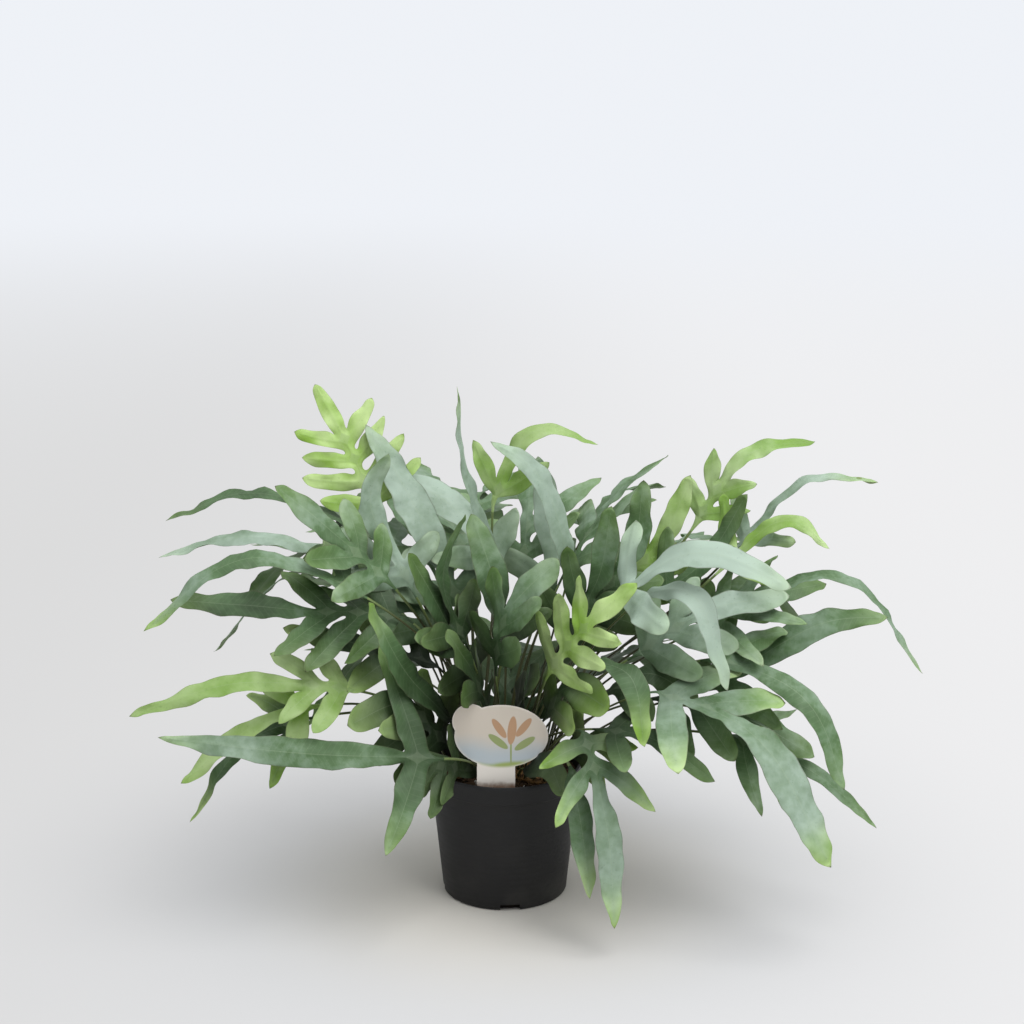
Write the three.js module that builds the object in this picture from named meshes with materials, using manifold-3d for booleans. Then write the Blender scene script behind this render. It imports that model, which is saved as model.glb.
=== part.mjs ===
// A potted blue star fern: a nursery pot filled with soil, a creeping rhizome, a plant tag
// and a crown of separate fronds. Millimetres, +Z up, the origin under the middle of the pot.
// X runs to the right of the label's face, and the label faces -Y.

import * as THREE from 'three';
import { mergeVertices } from 'three/addons/utils/BufferGeometryUtils.js';
import Module from 'manifold-3d';

const wasm = await Module();
wasm.setup();

// Nursery pot
const POT_HEIGHT = 131;
const RIM_RADIUS = 75;
const BASE_RADIUS = 60.5;
const WALL = 1.6;
const FLOOR = 2.4;
const RIM_BAND = 18;
const RIM_STEP = 1.1;
const BASE_EDGE = 2;
const LIP_EDGE = 1;
const LIP_INNER_EDGE = 0.5;
const POT_SIDES = 36;
const NOTCHES = 4;
const NOTCH_START = -85;
const NOTCH_WIDTH = 19;
const NOTCH_HEIGHT = 6;
const NOTCH_DEPTH = 7;

// Soil
const SOIL_TOP = 119;
const SOIL_LUMP = 1.6;
const LUMP_PITCH = { x: 30, y: 35 };
const CRUMB_PITCH = { x: 13.4, y: 16.1 };
const CRUMB_SHARE = 0.6;
const SOIL_RINGS = 4;
const SOIL_SIDES = 24;
const CLEARANCE = 0.35;

// Rhizome: arms that creep out from the middle over the soil
const ARM_DIRECTIONS = [12, 70, 128, 190, 246, 304];
const ARM_LENGTH = 56;
const ARM_SIDES = 6;
const ARM_STEPS = 4;
const ARM_RADIUS = 6.2;
const ARM_TIP_RADIUS = 4;
const ARM_CURL = 16;
const ARM_HEIGHT = 1.2;
const ARM_RISE = 1.5;
const ARM_ROOT = 0.2;
const BUD_REACH = 0.6;
const BUD_SHARE = 0.55;
const FOOT_PITCH = 4.4;
const FOOT_START = 11;
const FOOT_OFFSET = 3;
const FOOT_DEPTH = 4;
const FEET_ON_ARM = 11;

// Stalks and blades
const STALK_HALF_WIDTH = 1.7;
const STALK_RIDGE = 1.05;
const STALK_STEP = 72;
const SHORTEST_STALK = 30;
const FOOT_TAPER = 5;
const KNEE_REACH = 0.26;
const KNEE_HEIGHT = 0.48;
const LOWEST_RIB = 6;
const BLADE_RIDGE = 0.62;
const WING = 6;
const WING_RIDGE = 0.74;
const SINUS = 9;
const SHOULDER = 14;
const LOBE_SEAT = 0.86;
const MOST_ROLL = 1.25;
const ROLL_START = 0.3;
const ROLL_END = 20;

// Outlines: shares of a lobe's length at which its width is set, and the width's course
const LONG_LOBE = 70;
const LONG_END = 90;
const LOBE_STEPS = [0.24, 0.5, 0.74, 0.92];
const SHORT_LOBE_STEPS = [0.32, 0.68, 0.91];
const END_STEPS = [0.16, 0.38, 0.62, 0.83, 0.95];
const SHORT_END_STEPS = [0.2, 0.48, 0.76, 0.93];
const BLUNT = { squareness: 5, ease: 0.6 };
const SHARP = { ease: 0.75, swell: 1.12 };
const NECK = { share: 0.9, gain: 0.16, until: 0.45 };
const END_OPENS = 0.3;
const LOBE_RIPPLES = [9, 8];
const END_RIPPLES = [14, 12];
const END_CALM = { from: 0.2, fade: 0.6 };

// Two fronds on one foot, and the plain hole round a stalk's foot
const FORK = 5;
const FORK_REACH = 5;
const FORK_RISE = 6;
const FORK_FREE = 24;
const OTHER_SIDE_EVERY = 4;
const SLEEVE = { deeper: 0.9, halfWidth: 3, ridge: 2.1, steps: [7, 16, 26], tip: 28 };
const FORK_SLEEVE = { deeper: 4, halfWidth: 4.5, ridge: 3, steps: [0.5, 7, 16, 26], tip: 28 };

// How far lobes differ by nature, and how far a frond is bent to pass its neighbours
const VARY = { length: 0.2, width: 0.16, lift: 0.12, sweep: 0.14, droop: 0.16, twist: 0.5, pointed: 0.4 };
const BEND = { swing: 15, lean: 11, roll: 16, angle: 8, lift: 0.3, droop: 0.12, twist: 0.3, shrink: 0.3 };
const LEAST_BEND = 0.12;
const TRIALS = 320;
const SEED_STEP = 977;
const FROND_GAP = 0.35;
const NEAR = 1.5;
const FLOOR_GAP = 1.5;
const SOIL_GAP = 9;
const FOOT_REACH = { share: 0.4, least: 8, most: 54 };
const FEET_TRIED = [3, 6];

// Plant tag
const TAG_THICKNESS = 0.8;
const TAG_HEAD = { x: -3, z: 178, halfWidth: 44, halfHeight: 31 };
const TAG_BUMP = { x: -32, z: 193, radius: 17 };
const TAG_STEM = { x: -8, halfWidth: 18, top: 165, shoulder: 108, point: 92 };
const TAG_Y = -62;
const TAG_CURVE_STEPS = 13;
const TAG_POINT_EASE = 1.5;

const UP = new THREE.Vector3(0, 0, 1);
const TAU = Math.PI * 2;
const SMALL_STEP = 0.02;
const CURVE_STEPS = 80;
const DRAW_STEP = 0x6d2b79f5;
const DRAW_RANGE = 2 ** 32;
const radians = THREE.MathUtils.degToRad;

const PAINTS = {
  pot: { color: 0x2c2e30, roughness: 0.62 },
  soil: { color: 0x33261c, roughness: 1 },
  rhizome: { color: 0x8a6a3c, roughness: 0.95 },
  tag: { color: 0xe6dfcf, roughness: 0.45 },
  mature: { color: 0x7f9f92, roughness: 0.6 },
  young: { color: 0xa8cc5c, roughness: 0.5 },
};

// A seeded draw between 0 and 1, the same in every run
function seededDraw(seed) {
  let state = seed >>> 0;
  return () => {
    state = (state + DRAW_STEP) >>> 0;
    let mixed = Math.imul(state ^ (state >>> 15), 1 | state);
    mixed = (mixed + Math.imul(mixed ^ (mixed >>> 7), 61 | mixed)) ^ mixed;
    return ((mixed ^ (mixed >>> 14)) >>> 0) / DRAW_RANGE;
  };
}

function polar(azimuth, reach, height) {
  const turn = radians(azimuth);
  return new THREE.Vector3(reach * Math.cos(turn), reach * Math.sin(turn), height);
}

// Solids: from a geometry, or from points and triangles, and back to a geometry
function solidFromArrays(positions, triangles) {
  return new wasm.Manifold(new wasm.Mesh({
    numProp: 3,
    vertProperties: new Float32Array(positions),
    triVerts: new Uint32Array(triangles),
  }));
}

function solidOf(geometry) {
  const bare = geometry.clone();
  bare.deleteAttribute('normal');
  bare.deleteAttribute('uv');
  const merged = mergeVertices(bare, 1e-4);
  const corner = merged.attributes.position.array;
  const index = Array.from(merged.index.array);
  const kept = [];
  for (let i = 0; i < index.length; i += 3) {
    const [a, b, c] = index.slice(i, i + 3);
    if (a !== b && b !== c && c !== a) kept.push(a, b, c);
  }
  const solid = solidFromArrays(corner, kept);
  if (solid.volume() > 0) return solid;
  for (let i = 0; i < kept.length; i += 3) {
    [kept[i + 1], kept[i + 2]] = [kept[i + 2], kept[i + 1]];
  }
  return solidFromArrays(corner, kept);
}

function geometryOf(solid) {
  const mesh = solid.getMesh();
  const geometry = new THREE.BufferGeometry();
  geometry.setAttribute('position', new THREE.BufferAttribute(mesh.vertProperties, 3));
  geometry.setIndex(new THREE.BufferAttribute(mesh.triVerts, 1));
  geometry.computeVertexNormals();
  return geometry;
}

// The pot's outer and inner radius at a height
function potRadius(z) {
  return THREE.MathUtils.lerp(BASE_RADIUS, RIM_RADIUS - RIM_STEP, z / POT_HEIGHT);
}

function potInside(z) {
  return potRadius(z) - WALL;
}

function potSolid() {
  const bandFoot = POT_HEIGHT - RIM_BAND;
  const profile = [
    [0, 0],
    [BASE_RADIUS - BASE_EDGE, 0],
    [potRadius(BASE_EDGE), BASE_EDGE],
    [potRadius(bandFoot - RIM_STEP), bandFoot - RIM_STEP],
    [potRadius(bandFoot) + RIM_STEP, bandFoot],
    [RIM_RADIUS, POT_HEIGHT - LIP_EDGE],
    [RIM_RADIUS - LIP_EDGE, POT_HEIGHT],
    [potInside(POT_HEIGHT) + LIP_INNER_EDGE, POT_HEIGHT],
    [potInside(POT_HEIGHT), POT_HEIGHT - LIP_EDGE],
    [potInside(FLOOR), FLOOR],
    [0, FLOOR],
  ];
  const points = profile.map(([r, z]) => new THREE.Vector2(r, z));
  const lathe = new THREE.LatheGeometry(points, POT_SIDES);
  lathe.rotateX(Math.PI / 2);
  let pot = solidOf(lathe);
  for (let i = 0; i < NOTCHES; i += 1) {
    const notch = new THREE.BoxGeometry(NOTCH_DEPTH * 2, NOTCH_WIDTH, NOTCH_HEIGHT * 2);
    notch.translate(BASE_RADIUS, 0, 0);
    notch.rotateZ(radians(NOTCH_START) + (TAU * i) / NOTCHES);
    pot = pot.subtract(solidOf(notch));
  }
  return pot;
}

// Lumps on the soil, from crossed waves
function soilHeight(x, y) {
  const lump = Math.cos((TAU * x) / LUMP_PITCH.x) * Math.cos((TAU * y) / LUMP_PITCH.y);
  const crumb = Math.sin(TAU * (x / CRUMB_PITCH.x - y / CRUMB_PITCH.y));
  return SOIL_TOP + SOIL_LUMP * (lump + CRUMB_SHARE * crumb);
}

function soilSolid() {
  const corner = [];
  const triangles = [];
  const add = (x, y, z) => {
    corner.push(x, y, z);
    return corner.length / 3 - 1;
  };
  const topRadius = potInside(SOIL_TOP) - CLEARANCE;
  const floor = FLOOR + CLEARANCE;
  const rings = [];
  for (let ring = 1; ring <= SOIL_RINGS; ring += 1) {
    const radius = (topRadius * ring) / SOIL_RINGS;
    rings.push(radius);
  }
  const top = add(0, 0, soilHeight(0, 0));
  const bottom = add(0, 0, floor);
  const loops = rings.map((radius, ring) => {
    const atWall = ring === SOIL_RINGS - 1;
    const loop = [];
    for (let side = 0; side < SOIL_SIDES; side += 1) {
      const turn = (TAU * side) / SOIL_SIDES;
      const x = radius * Math.cos(turn);
      const y = radius * Math.sin(turn);
      loop.push(add(x, y, atWall ? SOIL_TOP - SOIL_LUMP : soilHeight(x, y)));
    }
    return loop;
  });
  const foot = [];
  for (let side = 0; side < SOIL_SIDES; side += 1) {
    const turn = (TAU * side) / SOIL_SIDES;
    const radius = potInside(floor) - CLEARANCE;
    foot.push(add(radius * Math.cos(turn), radius * Math.sin(turn), floor));
  }
  for (let side = 0; side < SOIL_SIDES; side += 1) {
    const next = (side + 1) % SOIL_SIDES;
    triangles.push(top, loops[0][side], loops[0][next]);
    for (let ring = 1; ring < SOIL_RINGS; ring += 1) {
      const inner = loops[ring - 1];
      const outer = loops[ring];
      triangles.push(inner[side], outer[side], outer[next]);
      triangles.push(inner[side], outer[next], inner[next]);
    }
    const edge = loops[SOIL_RINGS - 1];
    triangles.push(edge[side], foot[side], foot[next]);
    triangles.push(edge[side], foot[next], edge[next]);
    triangles.push(foot[side], bottom, foot[next]);
  }
  return solidFromArrays(corner, triangles);
}

// The middle line of one rhizome arm, from the pot's middle out to its bud, curling to one side
function armPoint(direction, distance) {
  const along = distance / ARM_LENGTH;
  const turned = direction + ARM_CURL * along * along;
  const rise = ARM_HEIGHT + ARM_RISE * along * along;
  return polar(turned, distance, SOIL_TOP + rise);
}

// A closed round tube through points, with its own radius at each point
function taperedTube(points, radii, sides) {
  const corner = [];
  const triangles = [];
  const loops = points.map((point, i) => {
    const before = points[Math.max(i - 1, 0)];
    const after = points[Math.min(i + 1, points.length - 1)];
    const along = after.clone().sub(before).normalize();
    const side = new THREE.Vector3().crossVectors(along, UP).normalize();
    const normal = new THREE.Vector3().crossVectors(side, along);
    const loop = [];
    for (let k = 0; k < sides; k += 1) {
      const turn = (TAU * k) / sides;
      const spot = point.clone();
      spot.addScaledVector(side, radii[i] * Math.cos(turn));
      spot.addScaledVector(normal, radii[i] * Math.sin(turn));
      loop.push(corner.length / 3);
      corner.push(spot.x, spot.y, spot.z);
    }
    return loop;
  });
  const first = corner.length / 3;
  corner.push(...points[0].toArray());
  const last = first + 1;
  corner.push(...points[points.length - 1].toArray());
  for (let k = 0; k < sides; k += 1) {
    const next = (k + 1) % sides;
    triangles.push(first, loops[0][next], loops[0][k]);
    triangles.push(last, loops[loops.length - 1][k], loops[loops.length - 1][next]);
    for (let i = 1; i < loops.length; i += 1) {
      triangles.push(loops[i - 1][k], loops[i - 1][next], loops[i][next]);
      triangles.push(loops[i - 1][k], loops[i][next], loops[i][k]);
    }
  }
  const solid = solidFromArrays(corner, triangles);
  if (solid.volume() > 0) return solid;
  for (let i = 0; i < triangles.length; i += 3) {
    [triangles[i + 1], triangles[i + 2]] = [triangles[i + 2], triangles[i + 1]];
  }
  return solidFromArrays(corner, triangles);
}

function rhizomeSolid(grow) {
  let body = null;
  for (const direction of ARM_DIRECTIONS) {
    const points = [];
    const radii = [];
    for (let step = 0; step <= ARM_STEPS; step += 1) {
      const along = step / ARM_STEPS;
      points.push(armPoint(direction, Math.max(ARM_LENGTH * along, ARM_ROOT)));
      radii.push(THREE.MathUtils.lerp(ARM_RADIUS, ARM_TIP_RADIUS, along * along) + grow);
    }
    points.push(armPoint(direction, ARM_LENGTH + ARM_TIP_RADIUS * BUD_REACH + grow));
    radii.push(ARM_TIP_RADIUS * BUD_SHARE + grow);
    const arm = taperedTube(points, radii, ARM_SIDES);
    body = body ? body.add(arm) : arm;
  }
  return body;
}

// Places on the rhizome that a stalk can grow from, in two rows along each arm
function rhizomeFeet() {
  const feet = [];
  for (const direction of ARM_DIRECTIONS) {
    for (let i = 0; i < FEET_ON_ARM; i += 1) {
      const distance = FOOT_START + FOOT_PITCH * i;
      const middle = armPoint(direction, distance);
      const ahead = armPoint(direction, distance + 1).sub(middle);
      const side = new THREE.Vector3().crossVectors(ahead, UP).normalize();
      const row = i % 2 ? 1 : -1;
      const along = distance / ARM_LENGTH;
      const radius = THREE.MathUtils.lerp(ARM_RADIUS, ARM_TIP_RADIUS, along * along);
      const surface = Math.sqrt(radius * radius - FOOT_OFFSET * FOOT_OFFSET);
      const spot = middle.addScaledVector(side, FOOT_OFFSET * row);
      spot.z += surface - FOOT_DEPTH;
      feet.push({ spot, free: true });
    }
  }
  return feet;
}

// The plant tag: an oval head with a round bump, on a pointed stem
function tagSolid(grow) {
  const flat = (shape) => {
    const sheet = new THREE.ExtrudeGeometry(shape, {
      depth: TAG_THICKNESS + 2 * grow,
      bevelEnabled: false,
      curveSegments: TAG_CURVE_STEPS,
    });
    sheet.translate(0, 0, -TAG_THICKNESS / 2 - grow);
    return solidOf(sheet);
  };
  const head = new THREE.Shape();
  head.absellipse(TAG_HEAD.x, TAG_HEAD.z, TAG_HEAD.halfWidth, TAG_HEAD.halfHeight, 0, TAU);
  const bump = new THREE.Shape();
  bump.absarc(TAG_BUMP.x, TAG_BUMP.z, TAG_BUMP.radius, 0, TAU);
  const stem = new THREE.Shape();
  const half = TAG_STEM.halfWidth + grow;
  stem.moveTo(TAG_STEM.x - half, TAG_STEM.top);
  stem.lineTo(TAG_STEM.x - half, TAG_STEM.shoulder - grow);
  stem.lineTo(TAG_STEM.x, TAG_STEM.point - TAG_POINT_EASE * grow);
  stem.lineTo(TAG_STEM.x + half, TAG_STEM.shoulder - grow);
  stem.lineTo(TAG_STEM.x + half, TAG_STEM.top);
  stem.closePath();
  const upright = flat(head).add(flat(bump)).add(flat(stem));
  return upright.rotate([90, 0, 0]).translate([0, TAG_Y, 0]);
}

// One blade's or lobe's skin: a thin body with a sharp edge all round and a low rib on each face
class Skin {
  constructor() {
    this.corner = [];
    this.triangles = [];
  }

  point(spot) {
    this.corner.push(spot.x, spot.y, spot.z);
    return this.corner.length / 3 - 1;
  }

  add(...faces) {
    for (const face of faces) this.triangles.push(...face);
  }

  // Four points round the rib: left edge, right edge, upper rib and lower rib
  station(frame, halfWidth, ridge, leftLift = 0, rightLift = 0) {
    const { at, side, normal } = frame;
    const left = at.clone().addScaledVector(side, -halfWidth).addScaledVector(normal, leftLift);
    const right = at.clone().addScaledVector(side, halfWidth).addScaledVector(normal, rightLift);
    return {
      left: this.point(left),
      right: this.point(right),
      top: this.point(at.clone().addScaledVector(normal, ridge)),
      under: this.point(at.clone().addScaledVector(normal, -ridge)),
    };
  }

  spot(index) {
    return new THREE.Vector3().fromArray(this.corner, index * 3);
  }

  start(foot, a) {
    this.add([foot, a.top, a.left], [foot, a.right, a.top]);
    this.add([foot, a.left, a.under], [foot, a.under, a.right]);
  }

  finish(a, tip) {
    this.add([a.left, a.top, tip], [a.top, a.right, tip]);
    this.add([a.left, tip, a.under], [a.under, tip, a.right]);
  }

  bridge(a, b, leftBud, rightBud) {
    if (leftBud) {
      this.add([a.left, a.top, leftBud.top], [a.top, b.top, leftBud.top], [b.top, b.left, leftBud.top]);
      this.add([a.left, leftBud.under, a.under], [a.under, leftBud.under, b.under]);
      this.add([b.under, leftBud.under, b.left]);
    } else {
      this.add([a.left, a.top, b.left], [a.top, b.top, b.left]);
      this.add([a.left, b.left, a.under], [a.under, b.left, b.under]);
    }
    if (rightBud) {
      this.add([a.top, a.right, rightBud.top], [a.top, rightBud.top, b.top]);
      this.add([b.top, rightBud.top, b.right]);
      this.add([a.under, rightBud.under, a.right], [a.under, b.under, rightBud.under]);
      this.add([b.under, b.right, rightBud.under]);
    } else {
      this.add([a.top, a.right, b.right], [a.top, b.right, b.top]);
      this.add([a.under, b.right, a.right], [a.under, b.under, b.right]);
    }
  }

  // The same ring of four points, turned by quarters until it lies best against a station
  turned(ring, station) {
    const names = ['left', 'top', 'right', 'under'];
    const apart = (turn) => names.reduce((sum, name, i) => {
      const from = this.spot(ring[names[(i + turn) % names.length]]);
      return sum + from.distanceTo(this.spot(station[name]));
    }, 0);
    const best = names.map((_, turn) => turn).sort((a, b) => apart(a) - apart(b))[0];
    return Object.fromEntries(names.map((name, i) => [name, ring[names[(i + best) % names.length]]]));
  }

  // A round bud on the edge between two stations, where a lobe leaves the blade
  bud(a, b, side, normal, ridge) {
    const from = this.spot(side < 0 ? a.left : a.right);
    const to = this.spot(side < 0 ? b.left : b.right);
    const middle = from.add(to).multiplyScalar(0.5);
    return {
      at: middle.clone(),
      top: this.point(middle.clone().addScaledVector(normal, ridge)),
      under: this.point(middle.clone().addScaledVector(normal, -ridge)),
      left: side < 0 ? a.left : b.right,
      right: side < 0 ? b.left : a.right,
    };
  }
}

function smooth(low, high, x) {
  return THREE.MathUtils.smoothstep(x, low, high);
}

// Width along a lobe, from its root to its tip: blunt lobes stay wide, pointed ones taper
function lobeProfile(s, pointed) {
  const blunt = (1 - s ** BLUNT.squareness) ** BLUNT.ease;
  const sharp = (1 - s) ** SHARP.ease * SHARP.swell;
  const neck = NECK.share + NECK.gain * smooth(0, NECK.until, s);
  return THREE.MathUtils.lerp(blunt, sharp, pointed) * neck;
}

function frameOn(curve, along, sideways, roll) {
  const share = THREE.MathUtils.clamp(along, 0, 1);
  const at = curve.getPointAt(share);
  const tangent = curve.getTangentAt(share);
  const side = sideways.clone().addScaledVector(tangent, -sideways.dot(tangent)).normalize();
  side.applyAxisAngle(tangent, roll);
  const normal = new THREE.Vector3().crossVectors(side, tangent);
  return { at, tangent, side, normal };
}

function growLobe(skin, bud, frame, lobe, draw) {
  const turn = radians(lobe.angle);
  const outward = frame.side.clone().multiplyScalar(lobe.side * Math.sin(turn));
  const start = outward.addScaledVector(frame.tangent, Math.cos(turn)).normalize();
  start.addScaledVector(frame.normal, lobe.lift).normalize();
  const pointAt = (s) => {
    const spot = bud.at.clone().addScaledVector(start, lobe.length * s);
    spot.addScaledVector(frame.tangent, lobe.length * lobe.sweep * s * s);
    return spot.addScaledVector(UP, -lobe.length * lobe.droop * s * s);
  };
  const phase = draw() * TAU;
  let last = bud;
  for (const s of lobe.length > LONG_LOBE ? LOBE_STEPS : SHORT_LOBE_STEPS) {
    const at = pointAt(s);
    const tangent = pointAt(s + SMALL_STEP).sub(pointAt(s - SMALL_STEP)).normalize();
    const side = new THREE.Vector3().crossVectors(tangent, frame.normal).normalize();
    side.applyAxisAngle(tangent, lobe.twist * s);
    const normal = new THREE.Vector3().crossVectors(side, tangent);
    const halfWidth = (lobe.width / 2) * lobeProfile(s, lobe.pointed);
    const wave = lobe.wave * Math.sin(phase + s * LOBE_RIPPLES[0]);
    const counter = lobe.wave * Math.cos(phase + s * LOBE_RIPPLES[1]);
    const here = skin.station({ at, side, normal }, halfWidth, BLADE_RIDGE, wave, counter);
    skin.bridge(last, here);
    last = here;
  }
  skin.finish(last, skin.point(pointAt(1)));
}

// The middle line of a frond from its foot to its tip, bent by its trial, and the frames on it.
// A second frond on a foot first leaves the other stalk to the side.
function ribOf(spec, foot, jitter, aside = null) {
  const swing = radians(jitter(BEND.swing));
  const lean = radians(jitter(BEND.lean));
  const through = spec.through.map((point) => point.clone());
  const tip = through[through.length - 1];
  const outward = tip.clone().sub(foot).setZ(0).normalize();
  const sideways = new THREE.Vector3().crossVectors(outward, UP);
  for (const point of through) {
    point.sub(foot).applyAxisAngle(UP, swing).applyAxisAngle(sideways, lean).add(foot);
    point.z = Math.max(point.z, LOWEST_RIB);
  }
  const first = through[0];
  const knee = new THREE.Vector3(
    THREE.MathUtils.lerp(foot.x, first.x, KNEE_REACH),
    THREE.MathUtils.lerp(foot.y, first.y, KNEE_REACH),
    THREE.MathUtils.lerp(foot.z, first.z, KNEE_HEIGHT),
  );
  const route = aside ? [foot, aside, knee, ...through] : [foot, knee, ...through];
  const curve = new THREE.CatmullRomCurve3(route, false, 'centripetal');
  curve.arcLengthDivisions = CURVE_STEPS;
  const length = curve.getLength();
  const pitch = spec.lobeWidth * LOBE_SEAT + SINUS;
  const blade = Math.min(spec.pairs * pitch + spec.end + SHOULDER, length - SHORTEST_STALK);
  const bladeStart = length - blade;
  const across = frameOn(curve, 1 - blade / length / 2, sideways, 0);
  const facing = Math.atan2(spec.light.dot(across.side), spec.light.dot(across.normal));
  const turned = THREE.MathUtils.clamp(facing * spec.face, -MOST_ROLL, MOST_ROLL);
  const roll = turned + radians(spec.roll + jitter(BEND.roll));
  const rollAt = (distance) => roll * smooth(bladeStart * ROLL_START, bladeStart + ROLL_END, distance);
  const frameAt = (distance) => frameOn(curve, distance / length, sideways, rollAt(distance));
  return { curve, length, bladeStart, frameAt };
}

// The winged rib with its pairs of lobes, from the stalk's last station to the end lobe's first
function growLobedPart(skin, spec, rib, start, draw, jitter, size) {
  let distance = rib.bladeStart + SHOULDER;
  let last = skin.station(rib.frameAt(distance), WING, WING_RIDGE);
  skin.bridge(start, last);
  const seat = spec.lobeWidth * LOBE_SEAT;
  const vary = (amount) => amount * (draw() - 0.5);
  for (let pair = 0; pair < spec.pairs; pair += 1) {
    const above = skin.station(rib.frameAt(distance + seat), WING, WING_RIDGE);
    const middle = rib.frameAt(distance + seat / 2);
    const share = spec.pairs > 1 ? pair / (spec.pairs - 1) : 0;
    const lobes = [];
    for (const side of [-1, 1]) {
      if (draw() < spec.skip) continue;
      lobes.push({
        side,
        bud: skin.bud(last, above, side, middle.normal, BLADE_RIDGE),
        angle: THREE.MathUtils.lerp(...spec.angle, share) + jitter(BEND.angle),
        length: THREE.MathUtils.lerp(...spec.lobe, share) * size * (1 + vary(VARY.length)),
        width: spec.lobeWidth * (1 + vary(VARY.width)),
        lift: spec.lift + jitter(BEND.lift) + vary(VARY.lift),
        sweep: spec.sweep + vary(VARY.sweep),
        droop: spec.droop + jitter(BEND.droop) + vary(VARY.droop),
        twist: jitter(BEND.twist) + vary(VARY.twist),
        pointed: THREE.MathUtils.clamp(spec.pointed + vary(VARY.pointed), 0, 1),
        wave: spec.wave / 2,
      });
    }
    const budOn = (side) => lobes.find((lobe) => lobe.side === side)?.bud;
    skin.bridge(last, above, budOn(-1), budOn(1));
    for (const lobe of lobes) growLobe(skin, lobe.bud, middle, lobe, draw);
    last = skin.station(rib.frameAt(distance + seat + SINUS), WING, BLADE_RIDGE);
    skin.bridge(above, last);
    distance += seat + SINUS;
  }
  return { last, distance };
}

function growEndLobe(skin, spec, rib, start, distance, draw) {
  const end = rib.length - distance;
  const phase = draw() * TAU;
  let last = start;
  for (const s of end > LONG_END ? END_STEPS : SHORT_END_STEPS) {
    const opened = THREE.MathUtils.lerp(WING, spec.width / 2, smooth(0, END_OPENS, s));
    const halfWidth = opened * lobeProfile(s, spec.pointed);
    const height = spec.wave * smooth(0, END_CALM.from, s) * (1 - s * END_CALM.fade);
    const wave = height * Math.sin(phase + s * END_RIPPLES[0]);
    const counter = height * Math.cos(phase + s * END_RIPPLES[1]);
    const here = skin.station(rib.frameAt(distance + end * s), halfWidth, BLADE_RIDGE, wave, counter);
    skin.bridge(last, here);
    last = here;
  }
  skin.finish(last, skin.point(rib.curve.getPointAt(1)));
}

// A whole frond from its foot, or from the fork of another stalk
function growFrond(skin, spec, foot, bend, fork = null, root = null, forkSide = 0) {
  const draw = seededDraw(spec.seed * SEED_STEP + bend.trial);
  const jitter = (amount) => (draw() * 2 - 1) * amount * bend.amount;
  const size = 1 - BEND.shrink * draw() * bend.amount;
  const rib = ribOf(spec, foot, jitter, fork?.aside);
  const stalkAt = (distance) => skin.station(rib.frameAt(distance), STALK_HALF_WIDTH, STALK_RIDGE);
  let last = stalkAt(FOOT_TAPER);
  if (root) skin.bridge(skin.turned(root, last), last);
  else skin.start(skin.point(foot), last);
  let ownFork = null;
  if (forkSide) {
    const above = stalkAt(FOOT_TAPER + FORK);
    const { side, normal } = rib.frameAt(FOOT_TAPER + FORK / 2);
    ownFork = skin.bud(last, above, forkSide, normal, STALK_RIDGE);
    ownFork.aside = ownFork.at.clone().addScaledVector(side, FORK_REACH * forkSide);
    ownFork.aside.addScaledVector(UP, FORK_RISE);
    skin.bridge(last, above, forkSide < 0 ? ownFork : null, forkSide > 0 ? ownFork : null);
    last = above;
  }
  const steps = Math.max(2, Math.round(rib.bladeStart / STALK_STEP));
  for (let i = 1; i <= steps; i += 1) {
    const here = stalkAt(THREE.MathUtils.lerp(FOOT_TAPER, rib.bladeStart, i / steps));
    skin.bridge(last, here);
    last = here;
  }
  const bladePoints = skin.corner.length;
  const lobed = growLobedPart(skin, spec, rib, last, draw, jitter, size);
  growEndLobe(skin, spec, rib, lobed.last, lobed.distance, draw);
  return { rib, fork: ownFork, bladePoints };
}

// The plain hole round a stalk's foot: a point below it that opens into a four-sided shaft
function sleeveOf(rib, sizes) {
  const skin = new Skin();
  const foot = rib.frameAt(0);
  const deep = skin.point(foot.at.clone().addScaledVector(foot.tangent, -sizes.deeper));
  const rings = sizes.steps.map((distance) => (
    skin.station(rib.frameAt(distance), sizes.halfWidth, sizes.ridge)
  ));
  skin.start(deep, rings[0]);
  for (let i = 1; i < rings.length; i += 1) skin.bridge(rings[i - 1], rings[i]);
  skin.finish(rings[rings.length - 1], skin.point(rib.frameAt(sizes.tip).at));
  return solidFromArrays(skin.corner, skin.triangles);
}

// True where every blade point is over the soil's lumps and above the floor
function clearOfGround(skin, bladePoints) {
  for (let i = 0; i < skin.corner.length; i += 3) {
    const [x, y, z] = skin.corner.slice(i, i + 3);
    if (z < FLOOR_GAP) return false;
    const overPot = Math.hypot(x, y) < RIM_RADIUS;
    if (i >= bladePoints && overPot && z < SOIL_TOP + SOIL_GAP) return false;
  }
  return true;
}

// True where the edge between two points passes through a triangle
function edgeCuts(from, to, triangle) {
  const ray = new THREE.Ray(from, to.clone().sub(from).normalize());
  const hit = ray.intersectTriangle(triangle.a, triangle.b, triangle.c, false, new THREE.Vector3());
  return hit !== null && hit.distanceTo(from) <= from.distanceTo(to);
}

function trianglesCross(one, other) {
  const edges = (triangle) => [
    [triangle.a, triangle.b],
    [triangle.b, triangle.c],
    [triangle.c, triangle.a],
  ];
  const cuts = edges(one).some(([from, to]) => edgeCuts(from, to, other));
  return cuts || edges(other).some(([from, to]) => edgeCuts(from, to, one));
}

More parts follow.
